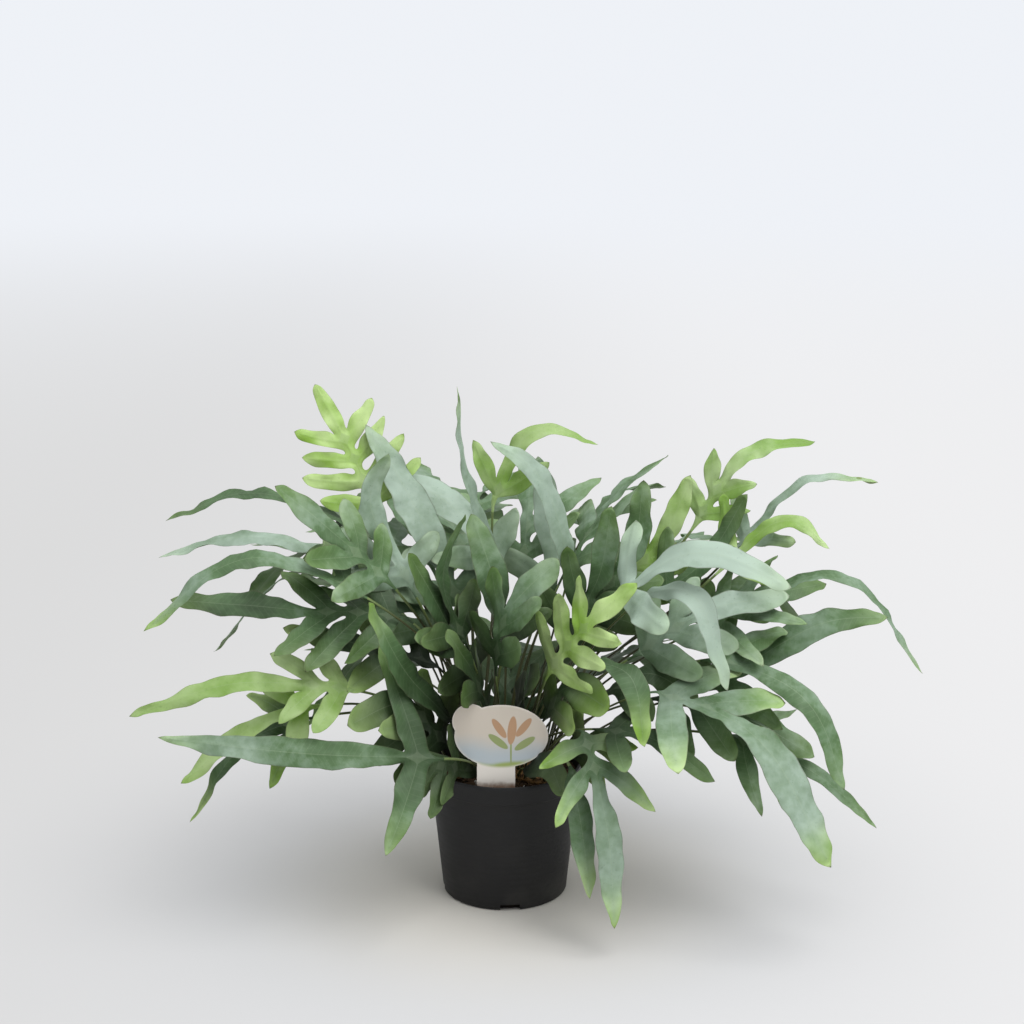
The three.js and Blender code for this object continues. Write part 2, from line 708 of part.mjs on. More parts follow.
// True where a skin's own faces pass through each other, as lobes that meet would
function crossesItself(skin) {
  const faces = [];
  for (let i = 0; i < skin.triangles.length; i += 3) {
    const ids = skin.triangles.slice(i, i + 3);
    const corners = ids.map((id) => skin.spot(id));
    const box = new THREE.Box3().setFromPoints(corners);
    faces.push({ ids, triangle: new THREE.Triangle(...corners), box });
  }
  return faces.some((one, i) => faces.slice(i + 1).some((other) => {
    if (!one.box.intersectsBox(other.box)) return false;
    if (one.ids.some((id) => other.ids.includes(id))) return false;
    return trianglesCross(one.triangle, other.triangle);
  }));
}

function standingPiece(name, solid) {
  const box = solid.boundingBox();
  return { name, solid, box: { min: box.min, max: box.max } };
}

function boxesMeet(a, b) {
  for (let k = 0; k < 3; k += 1) {
    if (a.min[k] > b.max[k] + FROND_GAP || b.min[k] > a.max[k] + FROND_GAP) return false;
  }
  return true;
}

function clashes(piece, standing) {
  const near = standing.filter((other) => boxesMeet(piece.box, other.box));
  return near.some((other) => piece.solid.minGap(other.solid, FROND_GAP * NEAR) < FROND_GAP);
}

function bendOf(trial, loose) {
  const amount = THREE.MathUtils.lerp(LEAST_BEND, 1, trial / TRIALS) * loose;
  return { trial, amount: trial === 0 ? 0 : amount };
}

// Grows one frond clear of all that stands already: it is bent a little further at each trial
function placeFrond(spec, feet, standing) {
  const goal = spec.through[0].clone().setZ(0).multiplyScalar(FOOT_REACH.share);
  goal.clampLength(FOOT_REACH.least, FOOT_REACH.most);
  const away = (foot) => foot.spot.clone().setZ(0).distanceTo(goal);
  const order = feet.filter((foot) => foot.free).sort((a, b) => away(a) - away(b));
  for (let trial = 0; trial < TRIALS; trial += 1) {
    const tried = FEET_TRIED[trial < TRIALS / 2 ? 0 : 1];
    const foot = order[Math.min(order.length - 1, trial % tried)];
    const bend = bendOf(trial, spec.loose);
    const skin = new Skin();
    const grown = growFrond(skin, spec, foot.spot, bend);
    if (!clearOfGround(skin, grown.bladePoints)) continue;
    const piece = standingPiece(spec.name, solidFromArrays(skin.corner, skin.triangles));
    if (clashes(piece, standing) || crossesItself(skin)) continue;
    foot.free = false;
    return { ...piece, spec, bend, foot: foot.spot, sleeves: [sleeveOf(grown.rib, SLEEVE)] };
  }
  return null;
}

// Grows a second frond out of the foot of one that stands already
function placeTwin(first, spec, standing) {
  const others = standing.filter((other) => other !== first);
  const cut = first.foot.z + FORK_FREE;
  const upper = standingPiece('upper', first.solid.trimByPlane([0, 0, 1], cut));
  const heading = spec.through[0].clone().sub(first.foot);
  const probe = ribOf(first.spec, first.foot, () => 0).frameAt(FOOT_TAPER);
  for (let trial = 0; trial < TRIALS; trial += 1) {
    const bend = bendOf(trial, spec.loose);
    const both = new Skin();
    const swapped = trial % OTHER_SIDE_EVERY === OTHER_SIDE_EVERY - 1;
    const forkSide = (probe.side.dot(heading) > 0) === swapped ? -1 : 1;
    const main = growFrond(both, first.spec, first.foot, first.bend, null, null, forkSide);
    const alone = new Skin();
    const grown = growFrond(alone, spec, main.fork.at, bend, main.fork);
    if (!clearOfGround(alone, grown.bladePoints)) continue;
    const lone = solidFromArrays(alone.corner, alone.triangles);
    if (clashes(standingPiece('lone', lone.trimByPlane([0, 0, 1], cut)), [upper])) continue;
    if (clashes(standingPiece('lone', lone), others)) continue;
    growFrond(both, spec, main.fork.at, bend, main.fork, main.fork);
    const piece = standingPiece(first.name, solidFromArrays(both.corner, both.triangles));
    if (clashes(piece, others) || crossesItself(both)) continue;
    const sleeves = [...first.sleeves, sleeveOf(grown.rib, FORK_SLEEVE)];
    return { ...first, ...piece, twin: true, sleeves };
  }
  return null;
}

function at(x, y, z) {
  return new THREE.Vector3(x, y, z);
}

// Leaves turn their faces to the light: to the front of the plant, or away at its back
const FRONT_LIGHT = at(0, -0.9, 0.42);
const BACK_LIGHT = at(0, 0.8, 0.6);

const DEFAULTS = {
  tone: 'mature',
  light: FRONT_LIGHT,
  face: 0.6,
  pairs: 2,
  lobe: [76, 84],
  lobeWidth: 25,
  angle: [66, 46],
  end: 120,
  width: 29,
  sweep: 0.12,
  droop: 0.16,
  lift: 0.06,
  pointed: 0.35,
  wave: 2.2,
  roll: 0,
  skip: 0.05,
  loose: 1,
};

// Fronds of the front and the sides, each through three points: inner, middle and tip.
// One marked true rises from the foot of the frond before it.
const SHOWN = [
  ['front_right_hang', [at(70, -94, 194), at(93, -144, 118), at(100, -162, 31)],
    { pairs: 2, lobe: [42, 54], lobeWidth: 17, angle: [84, 54], end: 130, width: 27, pointed: 0.5,
      droop: 0.16, face: 0.2, wave: 3 }],
  ['front_hang_slim', [at(54, -92, 178), at(71, -132, 110), at(78, -148, 52)],
    { pairs: 0, end: 108, width: 23, pointed: 0.5, face: 0.2, wave: 3 }, true],
  ['right_great_hang', [at(120, -75, 225), at(225, -135, 205), at(292, -170, 95)],
    { pairs: 2, lobe: [80, 70], end: 165, width: 39, lobeWidth: 28, pointed: 0.15, face: 0.4 }],
  ['right_rim_side', [at(58, -48, 150), at(90, -72, 178), at(116, -86, 160)],
    { pairs: 1, lobe: [40, 40], lobeWidth: 20, end: 46, width: 23, pointed: 0.2, face: 0.8 }, true],
  ['left_great_low', [at(-50, -92, 168), at(-180, -132, 192), at(-302, -160, 220)],
    { pairs: 1, lobe: [96, 96], angle: [72, 72], sweep: 0, end: 215, width: 30, lobeWidth: 28,
      face: 0.95, droop: 0, skip: 0, pointed: 0.75, wave: 3 }],
  ['front_left_rim', [at(-38, -60, 141), at(-58, -86, 156), at(-78, -100, 128)],
    { pairs: 3, lobe: [34, 36], lobeWidth: 15, angle: [80, 46], end: 42, width: 18, face: 0.85 }],
  ['left_rim_side', [at(-60, -44, 150), at(-94, -60, 176), at(-126, -72, 156)],
    { pairs: 1, lobe: [40, 40], lobeWidth: 21, end: 46, width: 24, pointed: 0.2, face: 0.8 }, true],
  ['left_grey_rise', [at(-58, -54, 200), at(-94, -84, 255), at(-122, -104, 325)],
    { pairs: 0, end: 155, width: 28, face: 0.9 }],
  ['left_inner_low', [at(-54, -50, 165), at(-94, -78, 216), at(-142, -102, 204)],
    { pairs: 2, lobe: [48, 46], end: 62, width: 29, face: 0.8, pointed: 0.2 }, true],
  ['centre_low_left', [at(-20, -52, 204), at(-36, -72, 248), at(-56, -88, 284)],
    { pairs: 2, lobe: [42, 44], lobeWidth: 24, end: 52, width: 28, face: 0.95, pointed: 0.2 }],
  ['centre_low_right', [at(14, -52, 200), at(24, -76, 236), at(30, -96, 240)],
    { pairs: 1, lobe: [42, 42], lobeWidth: 25, end: 50, width: 29, face: 0.95, pointed: 0.1 }, true],
  ['lime_fan', [at(-105, 40, 330), at(-150, 65, 425), at(-185, 90, 485)],
    { tone: 'young', pairs: 4, lobe: [50, 38], lobeWidth: 15, end: 45, width: 16, angle: [76, 60],
      droop: -0.05, wave: 1, face: 0.95, skip: 0 }],
  ['lime_front', [at(42, -60, 240), at(75, -80, 292), at(120, -90, 335)],
    { tone: 'young', pairs: 3, lobe: [46, 42], lobeWidth: 18, end: 50, width: 20, angle: [72, 55],
      wave: 2.4, face: 1, droop: 0.05, pointed: 0.7 }],
  ['centre_pale', [at(-9, -50, 230), at(0, -56, 295), at(48, -52, 348)],
    { pairs: 2, lobe: [48, 52], lobeWidth: 24, end: 60, width: 30, face: 1, droop: 0.05, pointed: 0.1 }],
  ['lime_low', [at(-95, -60, 210), at(-240, -105, 245), at(-335, -130, 223)],
    { tone: 'young', pairs: 2, lobe: [45, 42], lobeWidth: 19, end: 150, width: 21, pointed: 0.6 }],
  ['right_long_arch', [at(185, -5, 265), at(320, -20, 322), at(396, -30, 230)],
    { pairs: 2, lobe: [80, 70], end: 210, width: 15, lobeWidth: 20, pointed: 0.8, face: 0.35 }],
  ['right_pale_wave', [at(95, -55, 300), at(177, -90, 364), at(255, -112, 338)],
    { pairs: 1, lobe: [75, 75], end: 150, width: 29 }],
  ['right_hang_slim', [at(120, -50, 305), at(170, -92, 325), at(201, -122, 245)],
    { pairs: 0, end: 140, width: 23, pointed: 0.5 }, true],
  ['right_broad', [at(180, -15, 205), at(300, -28, 285), at(358, -30, 292)],
    { pairs: 1, lobe: [75, 75], end: 150, width: 33, pointed: 0.5 }],
  ['right_droop', [at(180, -50, 250), at(275, -98, 228), at(308, -130, 154)],
    { pairs: 1, lobe: [75, 75], end: 150, width: 26, pointed: 0.4 }],
  ['centre_top_dark', [at(-30, -26, 240), at(-58, -34, 325), at(-37, -30, 384)],
    { pairs: 1, lobe: [50, 50], end: 100, width: 22, lobeWidth: 22, face: 0.8 }],
  ['centre_top_grey', [at(-5, -20, 240), at(-15, -12, 320), at(-35, 0, 377)],
    { pairs: 1, lobe: [52, 52], end: 100, width: 30, face: 0.8 }],
  ['right_low_broad', [at(120, -35, 205), at(219, -70, 202), at(284, -90, 172)],
    { pairs: 2, lobe: [62, 60], end: 95, width: 34 }],
  ['right_low_wavy', [at(180, -35, 175), at(290, -70, 145), at(347, -90, 98)],
    { pairs: 1, lobe: [60, 60], end: 130, width: 16, lobeWidth: 18, pointed: 0.7, wave: 3.2 }],
  ['right_top_arch', [at(160, 40, 320), at(237, 52, 425), at(300, 56, 436)],
    { tone: 'young', pairs: 2, lobe: [44, 38], lobeWidth: 18, end: 95, width: 19, pointed: 0.7,
      angle: [56, 42] }],
  ['right_thin_arch', [at(190, 25, 300), at(290, 30, 404), at(355, 25, 403)],
    { pairs: 1, lobe: [60, 60], end: 130, width: 14, lobeWidth: 17, pointed: 0.8, face: 0.3 }],
  ['right_lime_arch', [at(170, -5, 290), at(265, -20, 377), at(303, -30, 352)],
    { tone: 'young', pairs: 1, lobe: [60, 60], end: 95, width: 16, lobeWidth: 19, pointed: 0.6 }],
  ['top_thread', [at(-12, 20, 330), at(-38, 10, 420), at(-44, 0, 500)],
    { pairs: 0, end: 175, width: 11, pointed: 1, wave: 1 }],
  ['top_green_arch', [at(-12, 45, 370), at(30, 58, 447), at(90, 50, 434)],
    { tone: 'young', pairs: 1, lobe: [50, 50], lobeWidth: 18, end: 115, width: 20, pointed: 0.7,
      angle: [48, 48] }],
  ['left_broad_top', [at(-45, 18, 280), at(-97, 50, 384), at(-139, 75, 447)],
    { pairs: 1, lobe: [75, 75], end: 165, width: 38, lobeWidth: 27, pointed: 0.6 }],
  ['left_blue_top', [at(-95, -5, 320), at(-128, 5, 390), at(-110, 15, 432)],
    { pairs: 1, lobe: [60, 60], end: 105, width: 26 }],
  ['left_upper_round', [at(-60, -2, 250), at(-118, 4, 320), at(-158, 8, 362)],
    { pairs: 2, lobe: [52, 52], end: 75, width: 26, pointed: 0.2 }, true],
  ['top_wide_grey', [at(20, 30, 310), at(-38, 50, 394), at(-99, 56, 411)],
    { pairs: 1, lobe: [65, 65], end: 130, width: 34, pointed: 0.4 }],
  ['top_back_spear', [at(45, 65, 300), at(42, 86, 365), at(33, 96, 412)],
    { pairs: 1, lobe: [60, 60], end: 105, width: 30, pointed: 0.5 }, true],
  ['top_pale_spear', [at(60, 25, 310), at(30, 12, 415), at(-12, 0, 447)],
    { pairs: 0, end: 160, width: 28, pointed: 0.6 }],
  ['left_dark_arch', [at(-90, 25, 320), at(-236, 40, 390), at(-327, 40, 363)],
    { pairs: 1, lobe: [75, 75], end: 190, width: 17, lobeWidth: 20, pointed: 0.4, face: 0.3 }],
  ['left_pale_round', [at(-80, -30, 285), at(-165, -48, 378), at(-209, -52, 416)],
    { pairs: 2, lobe: [52, 48], end: 78, width: 26, lobeWidth: 22 }],
  ['left_thin_grey', [at(-85, 0, 300), at(-221, -8, 366), at(-319, 0, 348)],
    { pairs: 1, lobe: [80, 80], end: 180, width: 17, lobeWidth: 20, pointed: 0.7, face: 0.4 }],
  ['left_long_arch', [at(-85, -40, 290), at(-222, -70, 372), at(-317, -92, 318)],
    { pairs: 1, lobe: [80, 80], end: 190, width: 20, lobeWidth: 22, pointed: 0.6, face: 0.45 }],
  ['left_band', [at(-60, -40, 285), at(-169, -70, 320), at(-278, -90, 345)],
    { pairs: 3, lobe: [72, 70], end: 125, width: 30, lobeWidth: 23, face: 0.5 }],
  ['left_lime_behind', [at(-110, -50, 205), at(-225, -85, 200), at(-296, -108, 150)],
    { tone: 'young', pairs: 1, lobe: [45, 45], end: 110, width: 20, lobeWidth: 19 }],
  ['left_dark_low', [at(-70, -20, 225), at(-145, -42, 248), at(-215, -55, 262)],
    { pairs: 2, lobe: [60, 60], end: 85, width: 28 }],
  ['left_low_wavy', [at(-120, -25, 190), at(-240, -50, 170), at(-297, -70, 95)],
    { pairs: 1, lobe: [55, 55], end: 120, width: 14, lobeWidth: 18, pointed: 0.8, wave: 3 }, true],
  ['front_right_rim', [at(60, -75, 180), at(130, -110, 178), at(186, -130, 138)],
    { pairs: 1, lobe: [50, 50], end: 85, width: 21, lobeWidth: 20 }],
  ['centre_right_round', [at(28, -46, 180), at(55, -72, 238), at(92, -95, 230)],
    { pairs: 1, lobe: [42, 42], lobeWidth: 27, end: 52, width: 33, pointed: 0.05, face: 0.9 }],
  ['front_yellow', [at(60, -70, 255), at(106, -118, 262), at(119, -142, 205)],
    { pairs: 0, end: 100, width: 23, pointed: 0.3, face: 0.5 }, true],
  ['centre_left_tall', [at(-28, -18, 215), at(-62, -32, 300), at(-88, -42, 355)],
    { pairs: 2, lobe: [55, 60], end: 85, width: 28, face: 0.8 }],
  ['right_inner_round', [at(48, -35, 180), at(120, -65, 245), at(165, -80, 222)],
    { pairs: 1, lobe: [48, 46], lobeWidth: 26, end: 62, width: 30, face: 0.8, pointed: 0.1 }],
  ['right_inner_tall', [at(45, 0, 240), at(82, 5, 320), at(90, 12, 385)],
    { pairs: 2, lobe: [52, 55], lobeWidth: 23, end: 80, width: 25, face: 0.8, pointed: 0.2 }],
  ['right_inner_pale', [at(65, 5, 260), at(122, 20, 340), at(132, 30, 402)],
    { pairs: 2, lobe: [52, 52], end: 85, width: 27, face: 0.8 }, true],
  ['right_inner_lime', [at(85, 25, 270), at(160, 38, 345), at(185, 50, 398)],
    { tone: 'young', pairs: 2, lobe: [48, 44], lobeWidth: 20, end: 75, width: 22, face: 0.8 }],
  ['right_blue', [at(95, -25, 220), at(200, -30, 290), at(272, -25, 300)],
    { pairs: 2, lobe: [58, 55], end: 90, width: 26, pointed: 0.15 }],
  ['right_green', [at(110, -5, 250), at(225, 0, 315), at(295, 8, 335)],
    { pairs: 2, lobe: [50, 50], lobeWidth: 22, end: 80, width: 22, pointed: 0.2 }],
  ['right_upright', [at(105, 10, 260), at(190, 18, 330), at(228, 25, 391)],
    { pairs: 1, lobe: [55, 55], lobeWidth: 19, end: 100, width: 19, pointed: 0.15 }, true],
  ['front_rim_right', [at(22, -60, 146), at(40, -82, 160), at(54, -96, 134)],
    { pairs: 0, end: 66, width: 24, pointed: 0.1, face: 0.8 }],
];

// The rest of the crown by a rule: compass directions, reach, arch height and tip height.
// Every second frond of a ring has a twin beside it.
const RINGS = [
  { name: 'back_inner', count: 2, from: 66, to: 90, reach: 125, arch: 205, tip: 190, end: 80 },
  { name: 'back_high', count: 4, from: 35, to: 150, reach: 205, arch: 385, tip: 400, end: 110 },
  { name: 'back_wide', count: 5, from: 18, to: 165, reach: 300, arch: 325, tip: 245, end: 130 },
  { name: 'back_low', count: 2, from: 45, to: 140, reach: 235, arch: 205, tip: 120, end: 110 },
];

const RING_COURSE = { inner: 0.34, innerRise: 0.72, middle: 0.7 };
const RING_SPREAD = { azimuth: 6, middle: 5, tip: 12, reach: 0.24, height: 30 };
const RING_SEED = 100;
const RING_SEED_START = 7;

const feet = rhizomeFeet();
const pot = potSolid();
const tag = tagSolid(0);
const standing = [standingPiece('pot', pot), standingPiece('tag', tag)];

// A seed of its own for each frond, from its name's letters
function seedOf(name) {
  return [...name].reduce((sum, letter, i) => sum + letter.charCodeAt(0) * (i + 1), 0);
}

// Adds one frond to the crown, on a foot of its own or, as a twin, on the foot of the one before.
// A frond that finds no clear place is left out.
function plant(name, through, options, twin = false) {
  const spec = { ...DEFAULTS, ...options, name, through, seed: seedOf(name) };
  const last = standing[standing.length - 1];
  if (!twin) {
    const grown = placeFrond(spec, feet, standing);
    if (grown) standing.push(grown);
  } else if (!last.twin) {
    const both = placeTwin(last, spec, standing);
    if (both) standing[standing.length - 1] = both;
  }
}

for (const [name, through, options, twin] of SHOWN) plant(name, through, options, twin);

// The three points of a frond in a ring, each a little off its place
function ringPoints(ring, azimuth, draw) {
  const off = (amount) => amount * (draw() - 0.5);
  const reach = ring.reach * (1 + off(RING_SPREAD.reach));
  const rise = THREE.MathUtils.lerp(SOIL_TOP, ring.arch, RING_COURSE.innerRise);
  return [
    polar(azimuth, reach * RING_COURSE.inner, rise),
    polar(azimuth + off(RING_SPREAD.middle), reach * RING_COURSE.middle, ring.arch),
    polar(azimuth + off(RING_SPREAD.tip), reach, ring.tip + off(RING_SPREAD.height)),
  ];
}

// The blade of a frond in a ring, drawn between the least and the most of each size
function ringBlade(ring, draw) {
  const between = (least, most) => THREE.MathUtils.lerp(least, most, draw());
  return {
    pairs: 2,
    end: ring.end * between(0.85, 1.15),
    width: between(23, 33),
    lobeWidth: between(22, 28),
    lobe: [between(60, 80), between(64, 84)],
    pointed: between(0.2, 0.7),
    roll: between(-12, 12),
    loose: 1.6,
    light: BACK_LIGHT,
    face: 0.35,
  };
}

for (const [ringNumber, ring] of RINGS.entries()) {
  for (let i = 0; i < ring.count; i += 1) {
    const draw = seededDraw(ringNumber * RING_SEED + i + RING_SEED_START);
    const step = (ring.to - ring.from) / (ring.count - 1);
    const azimuth = ring.from + step * i + RING_SPREAD.azimuth * (draw() - 0.5);
    const name = `${ring.name}_${i + 1}`;
    plant(name, ringPoints(ring, azimuth, draw), ringBlade(ring, draw));
    const beside = ringPoints(ring, azimuth + step / 2, draw);
    const blade = { ...ringBlade(ring, draw), pairs: 1 };
    if (i % 2 === 0) plant(`${name}b`, beside, blade, true);
  }
}

const group = new THREE.Group();

function addMesh(name, solid, paint) {
  const material = new THREE.MeshStandardMaterial({ ...PAINTS[paint], metalness: 0 });
  const mesh = new THREE.Mesh(geometryOf(solid), material);
  mesh.name = name;
  group.add(mesh);
}

let soil = soilSolid().subtract(rhizomeSolid(CLEARANCE)).subtract(tagSolid(CLEARANCE));
let rhizome = rhizomeSolid(0);
for (const frond of standing.filter((piece) => piece.spec)) {
  addMesh(`frond_${frond.name}`, frond.solid, frond.spec.tone);
  for (const sleeve of frond.sleeves) {
    soil = soil.subtract(sleeve);
    rhizome = rhizome.subtract(sleeve);
  }
}
addMesh('pot', pot, 'pot');
addMesh('soil', soil, 'soil');
addMesh('rhizome', rhizome, 'rhizome');
addMesh('tag', tag, 'tag');

export default group;
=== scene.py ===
# %% [markdown]
# # A potted blue star fern
#
# A dense crown of waxy blue-grey fronds grows from a furry creeping rhizome in a dark nursery pot,
# with a plain plant tag behind the rim. The CAD model gives every frond its place and its outline.
# Here each one gets a smooth skin, real leaf thickness, waved margins, and its colours.

# %% The frame
import bmesh
import bpy
import heapq
import math
import random

import numpy as np
from mathutils import Matrix, Vector, noise


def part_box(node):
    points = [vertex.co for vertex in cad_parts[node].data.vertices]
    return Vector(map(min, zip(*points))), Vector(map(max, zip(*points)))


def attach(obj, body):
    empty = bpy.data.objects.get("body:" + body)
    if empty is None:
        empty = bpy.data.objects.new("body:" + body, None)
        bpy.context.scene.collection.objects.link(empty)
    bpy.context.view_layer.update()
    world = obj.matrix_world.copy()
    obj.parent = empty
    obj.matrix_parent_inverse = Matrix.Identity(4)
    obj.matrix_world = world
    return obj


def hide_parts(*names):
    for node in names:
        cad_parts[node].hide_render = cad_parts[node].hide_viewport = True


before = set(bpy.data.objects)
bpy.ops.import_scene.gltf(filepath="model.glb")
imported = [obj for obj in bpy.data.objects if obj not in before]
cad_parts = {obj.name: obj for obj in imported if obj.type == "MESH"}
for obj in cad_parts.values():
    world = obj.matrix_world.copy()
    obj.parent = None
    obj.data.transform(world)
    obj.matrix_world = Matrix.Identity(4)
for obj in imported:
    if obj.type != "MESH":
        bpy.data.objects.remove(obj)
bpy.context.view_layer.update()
MM = 0.001
FRONDS = sorted(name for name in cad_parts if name.startswith("frond_"))

# %% [markdown]
# ## Camera
# The picture was taken from a little above the plant and about 1.8 m in front of it. A camera is
# matched by its height, its distance, its tilt and the length of its lens, with no shift.

# %% Camera
CAMERA_PLACE = Vector((7, -1790, 816)) * MM
CAMERA_TILT = 13.7
LENS = 68.55
SENSOR = 36

bpy.ops.object.select_all(action="DESELECT")
bpy.ops.object.camera_add(location=CAMERA_PLACE, rotation=(math.radians(90 - CAMERA_TILT), 0, 0))
camera = bpy.context.object
camera.name = "photo_camera"
camera.data.lens = LENS
camera.data.sensor_width = SENSOR
camera.data.clip_end = 100
bpy.context.scene.camera = camera
bpy.context.scene.view_settings.view_transform = "Standard"
print("camera", tuple(camera.location), "lens", LENS)

# %% [markdown]
# ## Helpers for finishes
# A finish is a small graph of shader nodes. Made by hand it is the same few clicks over and over:
# add a node, set it, link it. Each helper does one of those steps, so that a finish further down
# reads like a recipe. Every pattern starts from Object coordinates, so it stays on its piece.

# %% Node helpers


def add_node(tree, kind, **values):
    """A new node with its settings and its unlinked inputs."""
    node = tree.nodes.new(kind)
    for key, value in values.items():
        if hasattr(node, key):
            setattr(node, key, value)
        else:
            node.inputs[key.replace("_", " ")].default_value = value
    return node


def mixed(tree, factor, first, second):
    """A colour mixed from two, each a colour or a socket."""
    node = add_node(tree, "ShaderNodeMix", data_type="RGBA")
    for slot, value in (("Factor", factor), ("A", first), ("B", second)):
        socket = [s for s in node.inputs if s.name == slot and s.enabled][0]
        if isinstance(value, bpy.types.NodeSocket):
            tree.links.new(value, socket)
        else:
            socket.default_value = value
    return [s for s in node.outputs if s.enabled][0]


def ranged(tree, value, low, high, to_low=0.0, to_high=1.0, smooth=True):
    """A value mapped from one range to another and kept in it."""
    kind = "SMOOTHSTEP" if smooth else "LINEAR"
    node = add_node(tree, "ShaderNodeMapRange", interpolation_type=kind, From_Min=low, From_Max=high)
    node.inputs["To Min"].default_value = to_low
    node.inputs["To Max"].default_value = to_high
    tree.links.new(value, node.inputs["Value"])
    return node.outputs["Result"]


def counted(tree, operation, *values):
    """One step of arithmetic on values or sockets."""
    node = add_node(tree, "ShaderNodeMath", operation=operation)
    for i, value in enumerate(values):
        if isinstance(value, bpy.types.NodeSocket):
            tree.links.new(value, node.inputs[i])
        else:
            node.inputs[i].default_value = value
    return node.outputs["Value"]


def place(tree):
    """The point on the piece, in metres."""
    return add_node(tree, "ShaderNodeTexCoord").outputs["Object"]


def marbled(tree, scale, detail=3.0):
    """Noise from 0 to 1 on the piece's own coordinates."""
    node = add_node(tree, "ShaderNodeTexNoise", Scale=scale, Detail=detail)
    tree.links.new(place(tree), node.inputs["Vector"])
    return node.outputs["Fac"]


def apart_axes(tree, vector):
    """The node that parts a vector into X, Y and Z."""
    node = add_node(tree, "ShaderNodeSeparateXYZ")
    tree.links.new(vector, node.inputs["Vector"])
    return node


def kept(tree, name):
    """A value that was stored on the piece's points."""
    return add_node(tree, "ShaderNodeAttribute", attribute_name=name).outputs["Fac"]


def finish_named(name, **constants):
    """A material with its shader's constant sockets set, and its node tree."""
    material = bpy.data.materials.new(name)
    material.use_nodes = True
    shader = material.node_tree.nodes["Principled BSDF"]
    for key, value in constants.items():
        shader.inputs[key.replace("_", " ")].default_value = value
    return material, material.node_tree, shader


def bumped(tree, shader, height, strength, distance):
    """Low relief on a finish."""
    node = add_node(tree, "ShaderNodeBump", Strength=strength, Distance=distance)
    tree.links.new(height, node.inputs["Height"])
    tree.links.new(node.outputs["Normal"], shader.inputs["Normal"])


print("helpers for finishes are ready")

# %% [markdown]
# ## Light
# A pale studio lights the plant from all round, and more from above. The world's colour grows from
# dim at the horizon to bright overhead, which keeps the inside of the crown and the pot's sides
# dark, while the camera sees one even pale backdrop. Two large soft lamps give the leaves a gloss.

# %% Light
SKY_FULL = 0.9
SKY_SEEN = (0.86, 0.885, 0.93, 1)
SKY_HORIZON = (0.12, 0.122, 0.125, 1)
SKY_ZENITH = (1.22, 1.24, 1.28, 1)
world = bpy.data.worlds.new("studio_light")
bpy.context.scene.world = world
world.use_nodes = True
sky = world.node_tree
background = sky.nodes["Background"]
direction = apart_axes(sky, add_node(sky, "ShaderNodeTexCoord").outputs["Generated"])
glow = mixed(sky, ranged(sky, direction.outputs["Z"], 0.0, SKY_FULL), SKY_HORIZON, SKY_ZENITH)
seen = add_node(sky, "ShaderNodeLightPath").outputs["Is Camera Ray"]
sky.links.new(mixed(sky, seen, glow, SKY_SEEN), background.inputs["Color"])


def soft_lamp(name, location, aim, size, power):
    """A square lamp that looks at a point."""
    bpy.ops.object.light_add(type="AREA", location=location)
    lamp = bpy.context.object
    lamp.name = name
    lamp.data.size = size
    lamp.data.energy = power
    lamp.rotation_euler = (Vector(aim) - Vector(location)).to_track_quat("-Z", "Y").to_euler()
    return lamp


soft_lamp("soft_lamp_above", (0.9, -0.6, 2.3), (0, 0, 0.2), 1.4, 30)
soft_lamp("soft_lamp_right", (1.6, -1.9, 1.7), (0, 0, 0.3), 1.2, 9)

# %% [markdown]
# ## Floor
# One wide disc is floor and backdrop in one. Near the pot it is matt paper that takes shadow, painted
# a little lighter and warmer round the pot as painted light against the plant's shadow. Farther off
# it passes into a glow that ends in the colour of the sky, so that no horizon shows, with painted
# shade darker to the left and at the front. A curved paper sweep would do the same from the front,
# but not from the back.

# %% Floor
FLOOR_RADIUS = 40.0
FLOOR_SIDES = 96
FLOOR_DROP = -0.0002
# Painted light round the pot: the paper is a little lighter and warmer there, against the plant's shadow.
FLOOR_NEAR_PAINTED_LIGHT = (0.6, 0.575, 0.525, 1)
FLOOR_MIDDLE = (0.55, 0.55, 0.55, 1)
# Painted shade on the glowing far floor: darker to the left, away from the lamps, and at the front.
WALL_LEFT_PAINTED_SHADE = (0.715, 0.715, 0.717, 1)
WALL_RIGHT = (0.86, 0.86, 0.87, 1)
FLOOR_FRONT_PAINTED_SHADE = (0.69, 0.69, 0.69, 1)
FLOOR_SCUFF = (0.45, 0.45, 0.45, 1)
NEAR_POT = (0.08, 0.3)
FAR_OFF = (0.04, 0.7)
LEFT_TO_RIGHT = (-0.8, 0.8)
FRONT_TO_MIDDLE = (-0.9, -0.4)
FLOOR_TO_SKY = (1.2, 8.0)
bpy.ops.object.select_all(action="DESELECT")
bpy.ops.mesh.primitive_circle_add(vertices=FLOOR_SIDES, radius=FLOOR_RADIUS, fill_type="NGON",
                                  location=(0, 0, FLOOR_DROP))
floor = bpy.context.object
floor.name = "studio_floor"
floor_paint, tree, shader = finish_named("studio_floor", Roughness=0.8, Specular_IOR_Level=0.2)
distance = add_node(tree, "ShaderNodeVectorMath", operation="LENGTH")
tree.links.new(place(tree), distance.inputs[0])
near_pot = ranged(tree, distance.outputs["Value"], *NEAR_POT)
ground = mixed(tree, near_pot, FLOOR_NEAR_PAINTED_LIGHT, FLOOR_MIDDLE)
ground = mixed(tree, ranged(tree, marbled(tree, 5.0), 0.4, 0.75, 0.0, 0.06), ground, FLOOR_SCUFF)
tree.links.new(ground, shader.inputs["Base Color"])
sideways = apart_axes(tree, place(tree))
